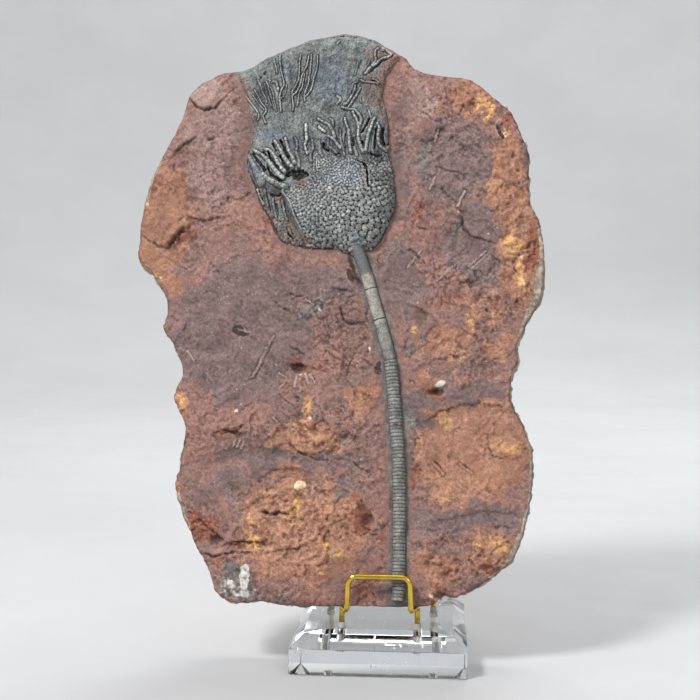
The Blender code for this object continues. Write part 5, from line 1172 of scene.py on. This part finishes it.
PLATE_SIZES = (
    (-12, 222, 3.7), (-3, 240, 2.5), (-38, 222, 2.5), (-45, 238, 1.7), (-25, 250, 1.4), (-8, 252, 1.8),
    (-50, 228, 1.9), (-28, 234, 2.2), (-24, 212, 2.9), (-5, 228, 3.3), (-36, 250, 1.5), (-16, 232, 3.0),
)
CROWN_ZONES = {
    "matrix": ((3, 312, 7, 12, 0, .95), (3, 292, 5, 14, 0, .85), (-2, 303, 4, 6, 0, .6), (5, 322, 5, 4, 0, .8),
               (-86, 302, 4, 9, 0, .7), (-83, 288, 3, 6, 0, .6), (3, 274, 2.5, 12, 0, .5)),
    "blue": ((-25, 250, 11, 9, 0, 1), (-32, 308, 13, 14, 0, .9), (-15.5, 211, 4, 6, 0, .8),
             (-60, 316, 6, 10, 0, .6), (-70, 276, 12, 6, 0, .7), (-77, 254, 4, 6, 20, .7)),
    "slate": ((-48, 269, 9, 8, 0, 1), (-31, 268, 8, 7, 0, .9), (-7, 262, 7, 5, 0, .9), (-34, 292, 5, 6, 0, .6),
              (-56, 312, 5, 8, 0, .6), (-4, 276, 3, 6, 0, .9), (-26, 280, 8, 8, 0, .5), (-14, 285, 8, 8, 0, .5),
              (-58, 252, 6, 5, 0, .7), (-72, 318, 6, 8, 0, .4), (-74, 299, 8, 11, 0, .6),
              (-60, 296, 5, 10, 0, .45), (-7, 250, 4, 7, -20, .5)),
    "warm": ((-56, 218, 6, 9, 20, .75), (-64, 236, 4, 6, 0, .6), (-5, 302, 8, 11, 0, 1), (-5, 326, 8, 6, 0, .9), (-49, 245, 4, 4, 0, .9),
             (-48, 212, 9, 4, -20, .7), (-80, 284, 3, 8, 0, 1), (4, 318, 6, 8, 0, 1),
             (-34, 296, 4, 5, 0, .35), (0, 290, 4, 8, 0, .8), (-82, 300, 3, 6, 0, .6), (-86, 310, 5, 5, 0, .6),
             (-73, 237, 2, 5, 20, .4), (-12, 204, 6, 4, 0, .5)),
    # White places: white bits of calcite, and painted highlight on the brightest crests and along the fan's top edge.
    "white": ((-32, 241.6, 1.2, 1.7, 20, .8), (-16, 242, 1.2, 1.1, 0, .8), (-16.5, 238.2, 1.6, 1.1, 0, .8),
              (-44.5, 209, 2.0, 1.2, 10, .8), (-25, 224, .8, 1.0, 0, .6), (-47.1, 280, 1.0, 2.6, 0, .75),
              (-46.6, 273.5, .8, 1.6, 0, .7), (-47, 268, .9, 1.2, 0, .6), (-37.6, 278.6, 2.2, .7, -35, .6),
              (-73.3, 235, 1.0, 1.4, 20, .6), (3.5, 223.5, .8, .8, 0, .7), (-2, 331.5, 2, 1, 0, .5),
              (-28.6, 332.4, 1.2, .9, 30, .5), (2, 325.5, 2, .9, 20, .5), (-44, 331.5, 1.4, .8, 30, .4)),
}


# Where loose small plates lie around the calyx.
GRAVEL = (
    (-40, 265, 13, 9, 0, 1), (-52, 258, 6, 8, 0, .8), (-8, 261, 9, 4, 0, .9), (-62, 224, 7, 12, 20, .7),
    (-46, 210, 9, 4, 0, 1), (-26, 267, 8, 5, 0, .7), (-74, 240, 3, 7, 20, .8), (2, 277, 3, 14, 0, .9),
    (-58, 214, 8, 5, -30, .9), (-68, 226, 4, 9, 25, .8), (-81, 262, 3, 10, 0, .5),
)


def calyx_edge_points(step):
    """The calyx's outline, clockwise: its right side, where the stem leaves it, its left side and top."""
    lower = spline(CROWN_RIGHT[-2:] + CALYX_RIGHT, step)
    lower = lower[lower[:, 1] <= CROWN_RIGHT[-1][1] + 1e-6]
    under = np.array((stem_edge(STEM_RADIUS)[0], stem_edge(-STEM_RADIUS)[0]))
    left = spline(CALYX_LEFT, step)
    top = spline(CALYX_LEFT[-1:] + CALYX_TOP + CROWN_RIGHT[-1:], step)
    return lower, under, left, top


def plate_sites(loop):
    """Middles of the calyx's plates, large at the lower right and fine at the top."""
    rng = np.random.default_rng(8)
    low, high = loop.min(0) - 3, loop.max(0) + 6
    anchors = np.array([p[:2] for p in PLATE_SIZES], float)
    sizes = np.array([p[2] for p in PLATE_SIZES])

    def size_at(p):
        weight = 1 / (((anchors - p) ** 2).sum(-1) + 4) ** 1.6
        return float((weight * sizes).sum() / weight.sum())

    kept, reach = np.zeros((0, 2)), np.zeros(0)
    for spot in rng.uniform(low, high, (34000, 2)):
        size = size_at(spot)
        if len(kept) == 0 or (np.hypot(*(kept - spot).T) > (reach + size) / 2 * .80).all():
            kept, reach = np.vstack((kept, spot)), np.append(reach, size)
    return kept, reach


def plates(u, v, share):
    """Height, pit and brightness of the star-shaped plates."""
    tree = kdtree.KDTree(len(PLATE_SPOTS))
    for i, (a, b) in enumerate(PLATE_SPOTS):
        tree.insert((a, b, 0), i)
    tree.balance()
    on = np.flatnonzero(share > .01)
    wu, wv = u[on] + .3 * swells(u[on], v[on], 1.8, 3), v[on] + .3 * swells(u[on], v[on], 1.8, 8)
    found = [tree.find_n((a, b, 0), 3) for a, b in zip(wu, wv)]
    near = np.array([[f[2] for f in row] for row in found])
    own = np.array([row[0][1] for row in found])
    size = PLATE_REACH[own]
    near = near / size[:, None]
    dome = np.clip(1 - (near[:, 0] / .64) ** 2.2, 0, 1)
    corner = smooth(1.06 - (near[:, 2] - near[:, 0]) / .33)
    seam = smooth(1 - (near[:, 1] - near[:, 0]) / .16) * .5
    calm = 1 - .75 * zone_value("smooth", u[on], v[on], {"smooth": ((-16, 210.5, 4, 6, 15, 1),)})
    rng = np.random.default_rng(12)
    luck = rng.random(len(PLATE_SPOTS))[own] ** 1.3
    weight = np.clip(size / 2.6, .45, 1.3) * calm
    out = {key: np.zeros(u.shape) for key in ("w", "pit", "dome", "luck", "seam")}
    turn = rng.uniform(0, math.tau, len(PLATE_SPOTS))[own]
    offset = np.column_stack((wu, wv)) - PLATE_SPOTS[own]
    rays = .5 + .5 * np.cos(6 * np.arctan2(offset[:, 1], offset[:, 0]) + turn)
    dome = np.clip(dome * (.62 + .38 * rays) + .34 * swells(wu, wv, .9, 12, 2), 0, 1)
    out["w"][on] = weight * (.60 * dome + .60 * (luck - .5) * dome - 1.1 * corner - .10 * seam) * share[on]
    out["pit"][on] = corner * share[on] * (.35 + .65 * calm)
    out["dome"][on] = dome * share[on]
    out["luck"][on] = luck
    out["seam"][on] = seam * share[on]
    return out


def trough(v):
    """How high the stone stands where it meets the crown, for each v."""
    return -.66 - (.75 - 1.1 * smooth((v - 283) / 22)) * smooth((v - 192) / 10)


def crown_surface(u, v, is_calyx):
    """The crown's height over the face at each point, and the masks its colours use."""
    to_edge = to_line(u, v, closed(POCKET))[0]
    heights = np.array(CROWN_RISE, float)
    rise = np.interp(v, heights[:, 0], heights[:, 1])
    reach = np.interp(v, heights[:, 0], heights[:, 2])
    lip = trough(v) - .15
    ragged_in = to_edge + 1.2 * swells(u, v, 5, 201, 2) * smooth(to_edge / 1.5)
    part = np.clip(ragged_in / (reach * (1 + .3 * swells(u, v, 15, 203))), 0, 1)
    w = lip + (rise + 1.1) * (.72 * (1 - (1 - part) ** 2.3) + .28 * bump(1 - part, 1))
    to_calyx, _, left = to_line(u, v, CALYX_LEFT[-1:] + CALYX_TOP[:5])
    flank = np.zeros(u.shape)
    if not is_calyx:
        flank = np.where(left > 0, smooth((247 - v) / 8), 0) * smooth(to_calyx / 2.6)
    w += (lip + (w - lip) * FLANK_DROP - w) * flank
    notches = smooth((252 - v) / 12) * smooth((-34 - u) / 8) * smooth((3.0 - to_edge) / 2.4)
    w -= 1.5 * notches * np.clip(swells(u, v, 3.4, 207, 2) + .15, 0, 1)
    w += .35 * swells(u, v, 9, 5) + .20 * swells(u, v, 2.4, 15, 3)
    fan = smooth((v - 262) / 14)
    w += fan * (.28 * chips(u, v, 4.6, 77) + .12 * swells(u * 2.4, v * .6, 1.4, 25, 2))
    w += (1 - fan) * (0 if is_calyx else 1) * (.45 * chips(u, v, 2.6, 79) + .22 * swells(u, v, 1.3, 85, 2))
    w += (.16 + .10 * fan) * swells(u, v, 1.2, 87, 2)
    w += .55 * smooth((3.5 - to_edge) / 2) * chips(u, v, 1.9, 89, .5) * (1 - .6 * fan)
    turned = np.arctan2(u + 42, np.maximum(v - 190, 20)) * 100
    streaks = swells(turned / 1.9, (v - 190) / 14, 1.0, 93, 3)
    w += .22 * fan * streaks
    lift, cut = np.zeros(u.shape), np.zeros(u.shape)
    crest, foot, gap = np.zeros(u.shape), np.zeros(u.shape), np.zeros(u.shape)
    wu, wv = u + .28 * swells(u, v, 2.6, 35), v + .28 * swells(u, v, 2.6, 45)
    for root, tip, high, light, line in RIDGES + TIPS:
        points = spline(line, 1.2)
        m = root + 1.8
        near = np.flatnonzero((wu > points[:, 0].min() - m) & (wu < points[:, 0].max() + m)
                              & (wv > points[:, 1].min() - m) & (wv < points[:, 1].max() + m))
        if len(near) == 0:
            continue
        away, along, _ = to_line(wu[near], wv[near], points)
        length = np.hypot(*np.diff(points, axis=0).T).sum()
        thick = root > .65
        if not thick:
            root, tip, light = root * .85, tip * .85, light * 1.25
        knobs = swells(along, np.full(along.shape, root * 9), 1.6, len(points))
        half = (root + (tip - root) * along / length) * (1 + (.16 if thick else .10) * knobs)
        round_top = bump(away, half)
        joint = (.5 + .5 * np.cos(math.tau * along / (2.5 if thick else 1.3) + 2.0 * knobs)) ** (12 if thick else 4)
        lift[near] = np.maximum(lift[near], high * round_top * (1 - (.40 if thick else .18) * joint) + .12 * knobs)
        crest[near] = np.maximum(crest[near], light * (.85 + .3 * knobs) * round_top ** 1.4
                                 * (1 - (.80 if thick else .5) * joint))
        ditch = np.exp(-((away - half - .25) / .50) ** 2) * (away > half * .85) * min(1, high + .1)
        foot[near] = np.maximum(foot[near], ditch)
    gu, gv = astray(u, v, ((2.2, .34), (.9, .16)), 171)
    for root, tip, deep, line in GAPS + ((CLEFT,) if is_calyx else ()):
        points = spline(line, 1.2)
        away, along, _ = to_line(gu, gv, points)
        half = root + (tip - root) * along / np.hypot(*np.diff(points, axis=0).T).sum()
        half = half * (.92 + .35 * swells(along, np.full(along.shape, 3.0 * deep), 2.2, 5))
        hollow_shade = bump(away, half * 1.08)
        cut = np.maximum(cut, deep * hollow_shade)
        gap = np.maximum(gap, smooth(hollow_shade * 1.15) * min(1.0, deep / 1.7))
    cave = zone_value("cave", gu, gv, {"cave": ((-55.2, 250.8, 3.2, 1.9, 30, 1), (-51, 248.6, 3.2, 2.2, 0, 1),
                                                (-47.2, 250.0, 2.8, 2.1, 0, 1), (-50, 252, 3.0, 1.5, 0, .9))})
    cave = smooth((cave + .25 * swells(u, v, 1.3, 181, 2) - .42) / .22)
    cut = np.maximum(cut, 3.0 * cave)
    gap = np.maximum(gap, cave * (.74 + .8 * swells(u, v, 1.3, 183)))
    foot = foot * (lift < .25)
    w += lift * (1 - np.clip(cut, 0, 1)) - cut - .35 * foot
    top_share = smooth(1 - to_line(u, v, CALYX_TOP[7:] + CROWN_RIGHT[-1:])[0] / 5.0) * (v < 266)
    loose = zone_value("gravel", u, v, {"gravel": GRAVEL}) * (v < 274)
    share = np.ones(u.shape) if is_calyx else np.maximum(top_share * .8, loose * .75) * (1 - np.clip(lift, 0, 1))
    p = plates(u, v, share * (1 - np.clip(lift * 1.5, 0, 1)) * (1 - np.clip(cut, 0, 1)))
    w += p["w"]
    bright = np.clip(.30 + .75 * p["luck"] + .55 * swells(u, v, 1.0, 22, 2), 0, 1.3)
    ragged = astray(u, v, ((7, 2.2), (2.5, .9)), 131)
    masks = {name: zone_value(name, *(ragged if name != "white" else (wu, wv)), CROWN_ZONES)
             for name in CROWN_ZONES}
    low_left = smooth((250 - v) / 14) * smooth((-38 - u) / 8)
    at_edge = smooth((1.3 + 1.9 * low_left + (1.6 + 1.6 * low_left) * swells(u, v, 2.8, 191, 2) - to_edge) / 1.3)
    masks["matrix"] = np.maximum(masks["matrix"], at_edge * (.62 - .2 * (v > 300) * (u < 0)))
    # Painted highlight: on the ridge crests, and on each plate's dome by how bright it is.
    masks["crest"] = np.maximum(crest, p["dome"] * bright * 1.05)
    shadow = smooth((.9 + .8 * swells(u, v, 3.2, 211, 2) - to_edge) / .8) * smooth((254 - v) / 10)
    # Painted shade, near black: beside the feet of the ridges, in the seams between plates, and as painted shadow along
    # the lower left edge.
    masks["foot"] = np.maximum(np.maximum(foot * .8, p["seam"] * .22), .85 * shadow)
    # Painted shade, near black, in the deep gaps, the cave and the pits between plates.
    masks["gap"] = np.maximum(gap, p["pit"] * .86)
    # Painted light and shade by place: lighter on top of the calyx's dome and on a few spots of it and the arms, darker
    # around the cleft, beside the dome and on parts of the fan.
    painted_light_and_shade = (.28 * zone_value("a", u, v, {"a": ((-24, 249, 8, 6, 0, 1), (-10, 226, 7, 10, 0, .6), (-26, 224, 26, 18, 0, .35),
                                               (-68, 256, 11, 11, 0, .85), (-52, 226, 8, 16, 0, .35))})
            - .34 * zone_value("a", u, v, {"a": ((-8, 259, 8, 4, 0, 1), (-42, 250, 4, 6, 0, .8), (-2, 246, 5, 8, 0, .5),
                                                 (-76, 305, 7, 9, 0, .5), (-58, 300, 3, 12, 0, .5),
                                                 (-34, 308, 34, 18, 0, .2))}))
    # The calcite's own tone at random, with the painted light and shade above, darker on the lowered flank and lighter
    # on the fan's raised streaks.
    masks["tone_and_shading"] = np.clip(.5 + .34 * swells(u, v, 6, 65, 3) - .10 * flank + .30 * fan * streaks + painted_light_and_shade
                            + .26 * (1 - fan) * swells(u, v, 1.6, 55, 2), 0, 1)
    return w, masks


def crown_piece(name, loop, pitch, is_calyx, material, slot, node):
    """One heightfield piece of the crown, closed down to the floor of its pocket."""
    area = (loop[:, 0] * np.roll(loop[:, 1], -1) - np.roll(loop[:, 0], -1) * loop[:, 1]).sum()
    loop = loop[::-1] if area > 0 else loop
    flat, tris, (rim,) = sheet(loop, [], pitch, 3)
    u, v = flat[:, 0], flat[:, 1]
    w, masks = crown_surface(u, v, is_calyx)
    evened = averaged(w, tris, 10)
    # Painted shade where the piece lies lower than its surroundings.
    masks["tone_and_shading"] = np.clip(masks["tone_and_shading"] - (evened - w) * .55, 0, 1)
    ids = np.arange(len(u), len(u) + len(rim))
    spots = np.vstack((in_world(u, v, w), in_world(u[rim], v[rim], np.full(len(rim), PIECE_FLOOR))))
    faces = [tuple(t) for t in tris]
    faces += [(rim[i], rim[j], ids[j], ids[i]) for i, j in around(len(rim))]
    faces += [t[::-1] for t in fill_loop(np.column_stack((u[rim], v[rim])), ids)]
    masks = {key: np.concatenate((values, values[rim])) for key, values in masks.items()}
    return dressed(make_object(name, spots, faces, material, masks), slot, node)


def make_crown():
    lower, under, left, top = calyx_edge_points(.34)

    def shake(p):
        below_fan = smooth((300 - p[:, 1]) / 10)[:, None]
        p = p + below_fan * (wobble(p, 2.2, .6, 29) - p)
        return wobble(wobble(p, 3.5, .55, 9), 1.3, .28, 19)

    calyx = np.vstack((shake(lower), under, shake(left), shake(top[1:-1])))
    crown_piece("calyx_plates", calyx, .27, True, crown_material("calyx", .42), "calyx", "crinoid_calyx")
    crown = spline(CALYX_LEFT[-1:] + CROWN_LEFT + CROWN_RIGHT, .40)
    arms = np.vstack((shake(crown[1:-1]), shake(top)[::-1]))
    crown_piece("arms_fan", arms, .335, False, crown_material("arms", .48), "arms", "crinoid_arms")


# ---------------------------------------------------------------- stem

def make_stem():
    """A column of joints: plain at the top, then close uneven rings down to its foot."""
    line = spline(((-16.2, 208.6),) + STEM_LINE, .24)
    walked = np.concatenate(([0], np.cumsum(np.hypot(*np.diff(line, axis=0).T))))
    keep, step_at = [0], 0.0
    for i in range(1, len(line)):
        step = .25 if line[i][1] < STEM_JOINTS[-1] + 1 or min(abs(line[i][1] - j) for j in STEM_JOINTS) < 1.2 else .7
        if walked[i] - step_at >= step:
            keep.append(i)
            step_at = walked[i]
    keep.append(len(line) - 1)
    line, walked = line[keep], walked[keep]
    run = np.gradient(line, axis=0)
    run /= np.linalg.norm(run, axis=1, keepdims=True)
    start = walked[np.argmin(abs(line[:, 1] - STEM_JOINTS[-1]))]
    rings = round((walked[-1] - start) / RING_PITCH)
    rng = np.random.default_rng(4)
    girth = rng.uniform(-.16, .10, rings + 2)
    borders = start + (np.arange(rings + 1) + np.concatenate(([0], rng.uniform(-.10, .10, rings - 1), [0]))) * (
        (walked[-1] - start) / rings)
    turns = np.radians(np.linspace(-24, 204, 39))
    spots, groove, plain, neck, flank, scar = [], [], [], [], [], []
    for (u, v), (du, dv), s in zip(line, run, walked):
        place = s - .12 * np.cos(turns * 2)
        ringed = smooth((place - start) / .3)
        gap = abs(place[:, None] - borders[None, :])
        which = np.clip(np.searchsorted(borders, place), 0, rings + 1)
        cut = np.exp(-(gap.min(1) / .30) ** 2) * ringed
        joint = sum(np.exp(-((s - walked[np.argmin(abs(line[:, 1] - j))]) / .35) ** 2) for j in STEM_JOINTS)
        faint = (.5 + .5 * np.cos(math.tau * place / 1.7)) ** 4 * .10 * (1 - ringed) * (v < 200)
        swell = .10 * swells(turns * 2.2, np.full(turns.shape, s / 3.2), 1.0, 3, 2)
        radius = (STEM_SMOOTH + (STEM_RADIUS - STEM_SMOOTH) * ringed + girth[which] * ringed * (1 - cut)
                  - .50 * cut - .45 * joint - faint + swell)
        radius = np.minimum(radius, STEM_RADIUS + .02)
        a = np.concatenate((radius * np.cos(turns), [-3.35, 3.35]))
        h = np.concatenate((STEM_AXIS + radius * np.sin(turns), [PIECE_FLOOR, PIECE_FLOOR]))
        spots.append(in_world(u + dv * a, v - du * a, h))
        # How far round the side each point is, for the painted shade on the stem's flanks.
        side = np.clip(1 - np.sin(turns) * 1.35, 0, 1) ** 1.3
        groove.append(np.concatenate((np.clip(cut + joint + faint * 3, 0, 1), [1, 1])))
        plain.append(np.concatenate((np.full(turns.shape, 1.0 if v > 163 else .0) * (1 - ringed), [0, 0])))
        neck.append(np.full(len(turns) + 2, smooth((v - 186) / 12)))
        flank.append(np.concatenate((side, [1, 1])))
        scar.append(np.concatenate((1.1 * np.exp(-((v - 103.2) / 1.7) ** 4 - ((a[:-2] - .2) / 1.7) ** 4), [0, 0])))
    across, count = len(turns) + 2, len(line)
    faces = []
    for k in range(count - 1):
        for i, j in around(across):
            faces.append((k * across + j, k * across + i, (k + 1) * across + i, (k + 1) * across + j))
    faces.append(tuple(range(across)))
    faces.append(tuple(range((count - 1) * across, count * across))[::-1])
    masks = {"groove": np.concatenate(groove), "smooth": np.concatenate(plain), "neck": np.concatenate(neck),
             "flank": np.concatenate(flank), "scar": np.concatenate(scar)}
    stem = make_object("stem_rings", np.vstack(spots), faces, stem_material(), masks)
    return dressed(stem, "stem", "crinoid_stem")


# ---------------------------------------------------------------- stand

def rounded(corners, radii, steps=12):
    """A path through the corners, each turned with its own bend radius."""
    path = [Vector(corners[0])]
    for before, corner, after, radius in zip(corners, corners[1:], corners[2:], radii):
        here = Vector(corner)
        inward = (Vector(before) - here).normalized()
        onward = (Vector(after) - here).normalized()
        half = inward.angle(onward) / 2
        reach = radius / math.tan(half)
        centre = here + (inward + onward).normalized() * radius / math.sin(half)
        start, end = here + inward * reach - centre, here + onward * reach - centre
        for k in range(steps + 1):
            path.append(centre + start.slerp(end, k / steps).normalized() * radius)
    path.append(Vector(corners[-1]))
    return path


def make_wire(name, half_corners, half_radii, material, node, sides=28):
    """A bent wire, given from one foot to the middle of its bar, and mirrored, with rounded ends."""
    mirrored = [(-x, y, z) for x, y, z in reversed(half_corners)]
    path = rounded(list(half_corners) + mirrored, list(half_radii) + list(reversed(half_radii)))
    way = (path[1] - path[0]).normalized()
    normal = way.orthogonal().normalized()
    spots, ends = [], []
    for k, here in enumerate(path):
        ahead = (path[min(k + 1, len(path) - 1)] - path[max(k - 1, 0)]).normalized()
        normal = (normal - ahead * normal.dot(ahead)).normalized()
        other = ahead.cross(normal)
        rings = [(here, WIRE_RADIUS)]
        if k == 0:
            rings = [(here, WIRE_RADIUS - .35), (here + ahead * .35, WIRE_RADIUS)]
        if k == len(path) - 1:
            rings = [(here - ahead * .35, WIRE_RADIUS), (here, WIRE_RADIUS - .35)]
        for middle, radius in rings:
            for i in range(sides):
                a = math.tau * i / sides
                spots.append((middle + (normal * math.cos(a) + other * math.sin(a)) * radius) * MM)
    count = len(spots) // sides
    faces = [(k * sides + i, k * sides + j, (k + 1) * sides + j, (k + 1) * sides + i)
             for k in range(count - 1) for i, j in around(sides)]
    faces.append(tuple(range(sides))[::-1])
    faces.append(tuple(range((count - 1) * sides, count * sides)))
    wire = make_object(name, spots, faces, material)
    wire.data.set_sharp_from_angle(angle=math.radians(50))
    return dressed(wire, "brass", node)


def make_brackets():
    brass = brass_material()
    foot_z = BASE_HEIGHT - HOLE_DEPTH + 2 * GAP
    x, y = FRONT_PIN
    make_wire("front_loop", ((-x, y, foot_z), (-x, y, SHELF_Z), (-18.3, -39.6, SHELF_Z), (-17.7, -39.6, 54.6)),
              (2.6, 2.6, 5.0), brass, "front_bracket")
    x, y = REAR_PIN
    make_wire("rear_loop", ((-x, y, foot_z), (-x, y, 27.0), (-31.3, 20.9, 185.0)), (10.0, 5.0), brass,
              "rear_bracket")


def circle(radius, z, sides, x=0.0, y=0.0):
    return [(x + radius * math.cos(math.tau * k / sides), y + radius * math.sin(math.tau * k / sides), z)
            for k in range(sides)]


def make_sleeves():
    nylon = nylon_material()
    low, high = BASE_HEIGHT - HOLE_DEPTH + GAP, BASE_HEIGHT + SLEEVE_RISE
    soft = .18
    profile = ((SLEEVE_OUTER, low), (SLEEVE_OUTER, high - soft), (SLEEVE_OUTER - soft * .5, high),
               (SLEEVE_INNER + soft * .3, high), (SLEEVE_INNER, high - soft), (SLEEVE_INNER, low))
    sides = 40
    for name, (x, y) in (("front_left", (-FRONT_PIN[0], FRONT_PIN[1])), ("front_right", FRONT_PIN),
                         ("rear_left", (-REAR_PIN[0], REAR_PIN[1])), ("rear_right", REAR_PIN)):
        spots = [p for radius, z in profile for p in circle(radius, z, sides, x, y)]
        rows = len(profile)
        faces = [(k * sides + i, k * sides + j, (k + 1) % rows * sides + j, (k + 1) % rows * sides + i)
                 for k in range(rows) for i, j in around(sides)]
        tube = make_object(f"tube_{name}", np.array(spots) * MM, faces, nylon)
        tube.data.set_sharp_from_angle(angle=math.radians(50))
        dressed(tube, "nylon", f"sleeve_{name}")


def make_base():
    """The clear block: flat faces, a wide bevel, every edge eased, and four blind holes."""
    half, sides = BASE_SIDE / 2, 40
    levels = ((half - .35, 0.0), (half, .35), (half, BASE_HEIGHT - BEVEL_DROP - .2),
              (half - .22, BASE_HEIGHT - BEVEL_DROP + .2), (half - BEVEL_INSET + .25, BASE_HEIGHT - .24),
              (half - BEVEL_INSET - .3, BASE_HEIGHT))
    spots = []
    for h, z in levels:
        for sx, sy in ((1, -1), (1, 1), (-1, 1), (-1, -1)):
            turn = math.atan2(sy, sx)
            for part in (-1, 0, 1):
                a = turn + part * math.radians(40)
                spots.append((sx * (h - .7) + .7 * math.cos(a), sy * (h - .7) + .7 * math.sin(a), z))
    n = 12
    faces = [(k * n + i, k * n + j, (k + 1) * n + j, (k + 1) * n + i)
             for k in range(len(levels) - 1) for i, j in around(n)]
    faces.append(tuple(range(n))[::-1])
    top = list(range((len(levels) - 1) * n, len(levels) * n))
    loops, deep = [top], BASE_HEIGHT - HOLE_DEPTH
    for x, y in ((-FRONT_PIN[0], FRONT_PIN[1]), FRONT_PIN, (-REAR_PIN[0], REAR_PIN[1]), REAR_PIN):
        first = len(spots)
        spots += circle(HOLE_RADIUS, BASE_HEIGHT, sides, x, y) + circle(HOLE_RADIUS, deep, sides, x, y)
        upper = list(range(first, first + sides))
        lower = list(range(first + sides, first + 2 * sides))
        faces += [(upper[j], lower[j], lower[i], upper[i]) for i, j in around(sides)]
        faces.append(tuple(lower))
        loops.append(upper)
    order = [i for loop in loops for i in loop]
    edges, start = [], 0
    for loop in loops:
        edges += [(start + i, start + j) for i, j in around(len(loop))]
        start += len(loop)
    flat, _, tris, origins, *_ = delaunay_2d_cdt([Vector(spots[i][:2]) for i in order], edges, [], 0, 1e-6)
    back = {new: order[olds[0]] for new, olds in enumerate(origins)}
    for t in tris:
        x, y = (sum(flat[k][axis] for k in t) / 3 for axis in (0, 1))
        if all(math.hypot(abs(x) - px, y - py) > HOLE_RADIUS for px, py in (FRONT_PIN, REAR_PIN)):
            faces.append(tuple(back[k] for k in t))
    block = make_object("clear_block", np.array(spots) * MM, faces, acrylic_material())
    block.data.set_sharp_from_angle(angle=math.radians(20))
    return dressed(block, "acrylic", "acrylic_base")


# ---------------------------------------------------------------- studio

def area_light(name, place, aim, size, power, colour=(1, 1, 1)):
    data = bpy.data.lights.new(name, "AREA")
    data.shape = "DISK"
    data.size, data.energy, data.color = size, power, colour
    lamp = bpy.data.objects.new(name, data)
    bpy.context.scene.collection.objects.link(lamp)
    lamp.location = place
    lamp.rotation_euler = (Vector(aim) - Vector(place)).to_track_quat("-Z", "Y").to_euler()


def make_studio():
    """A round room: a pale floor that curves up into a pale wall, with soft lights in it."""
    s = Shader("studio_floor")
    s.put(Base_Color=s.mix(s.band(s.noise(260, 3), .3, .7), (.47, .47, .47), (.50, .50, .50)),
          Roughness=s.band(s.noise(40, 3), .3, .7, .6, .75))
    sides, flat, curve, top = 96, 1.3, 1.6, 3.0
    profile = [(.02, 0.0), (.9, 0.0), (flat, 0.0)]
    profile += [(flat + curve * math.sin(a), curve * (1 - math.cos(a)))
                for a in (math.radians(k * 7.5) for k in range(1, 13))]
    profile.append((flat + curve, top))
    spots = [(r * math.cos(math.tau * k / sides), r * math.sin(math.tau * k / sides), z - .0003)
             for r, z in profile for k in range(sides)]
    faces = [(k * sides + i, (k + 1) * sides + i, (k + 1) * sides + j, k * sides + j)
             for k in range(len(profile) - 1) for i, j in around(sides)]
    faces.append(tuple(range(sides)))
    make_object("studio_floor", spots, faces, s.material)
    world = bpy.data.worlds.new("studio")
    bpy.context.scene.world = world
    world.use_nodes = True
    world.node_tree.nodes["Background"].inputs["Color"].default_value = (.90, .93, 1.0, 1)
    world.node_tree.nodes["Background"].inputs["Strength"].default_value = .70
    middle = (-.03, 0, .20)
    area_light("key", (-1.1, -1.0, 1.75), middle, .45, 42)
    area_light("fill", (1.2, -1.2, .9), middle, .8, 4)
    area_light("top", (.1, .35, 1.8), middle, .8, 6)
    area_light("back", (.5, 1.3, 1.2), middle, .8, 9)
    area_light("wall", (0, 1.0, 2.4), (0, 2.7, .7), 1.0, 26)
    bpy.context.scene.view_settings.view_transform = "Standard"


def make_camera():
    """Where the photograph was taken from, worked out from the block's corners and the slab."""
    yaw, pitch, roll = math.radians(-3.96), math.radians(-4.35), math.radians(.24)
    ahead = Vector((math.sin(yaw) * math.cos(pitch), math.cos(yaw) * math.cos(pitch), math.sin(pitch)))
    right = Vector((math.cos(yaw), -math.sin(yaw), 0))
    up = right.cross(ahead)
    right, up = (right * math.cos(roll) + up * math.sin(roll), up * math.cos(roll) - right * math.sin(roll))
    turned = Matrix((right, up, -ahead)).transposed().to_4x4()
    turned.translation = Vector((.0324, -.7547, .2393))
    data = bpy.data.cameras.new("camera")
    data.lens, data.sensor_width, data.clip_start = 65.42, 36, .01
    camera = bpy.data.objects.new("camera", data)
    camera.matrix_world = turned
    bpy.context.scene.collection.objects.link(camera)
    bpy.context.scene.camera = camera


PLATE_SPOTS, PLATE_REACH = plate_sites(np.vstack(calyx_edge_points(1.0)))

make_slab()
make_crown()
make_stem()
make_base()
make_brackets()
make_sleeves()
make_studio()
make_camera()
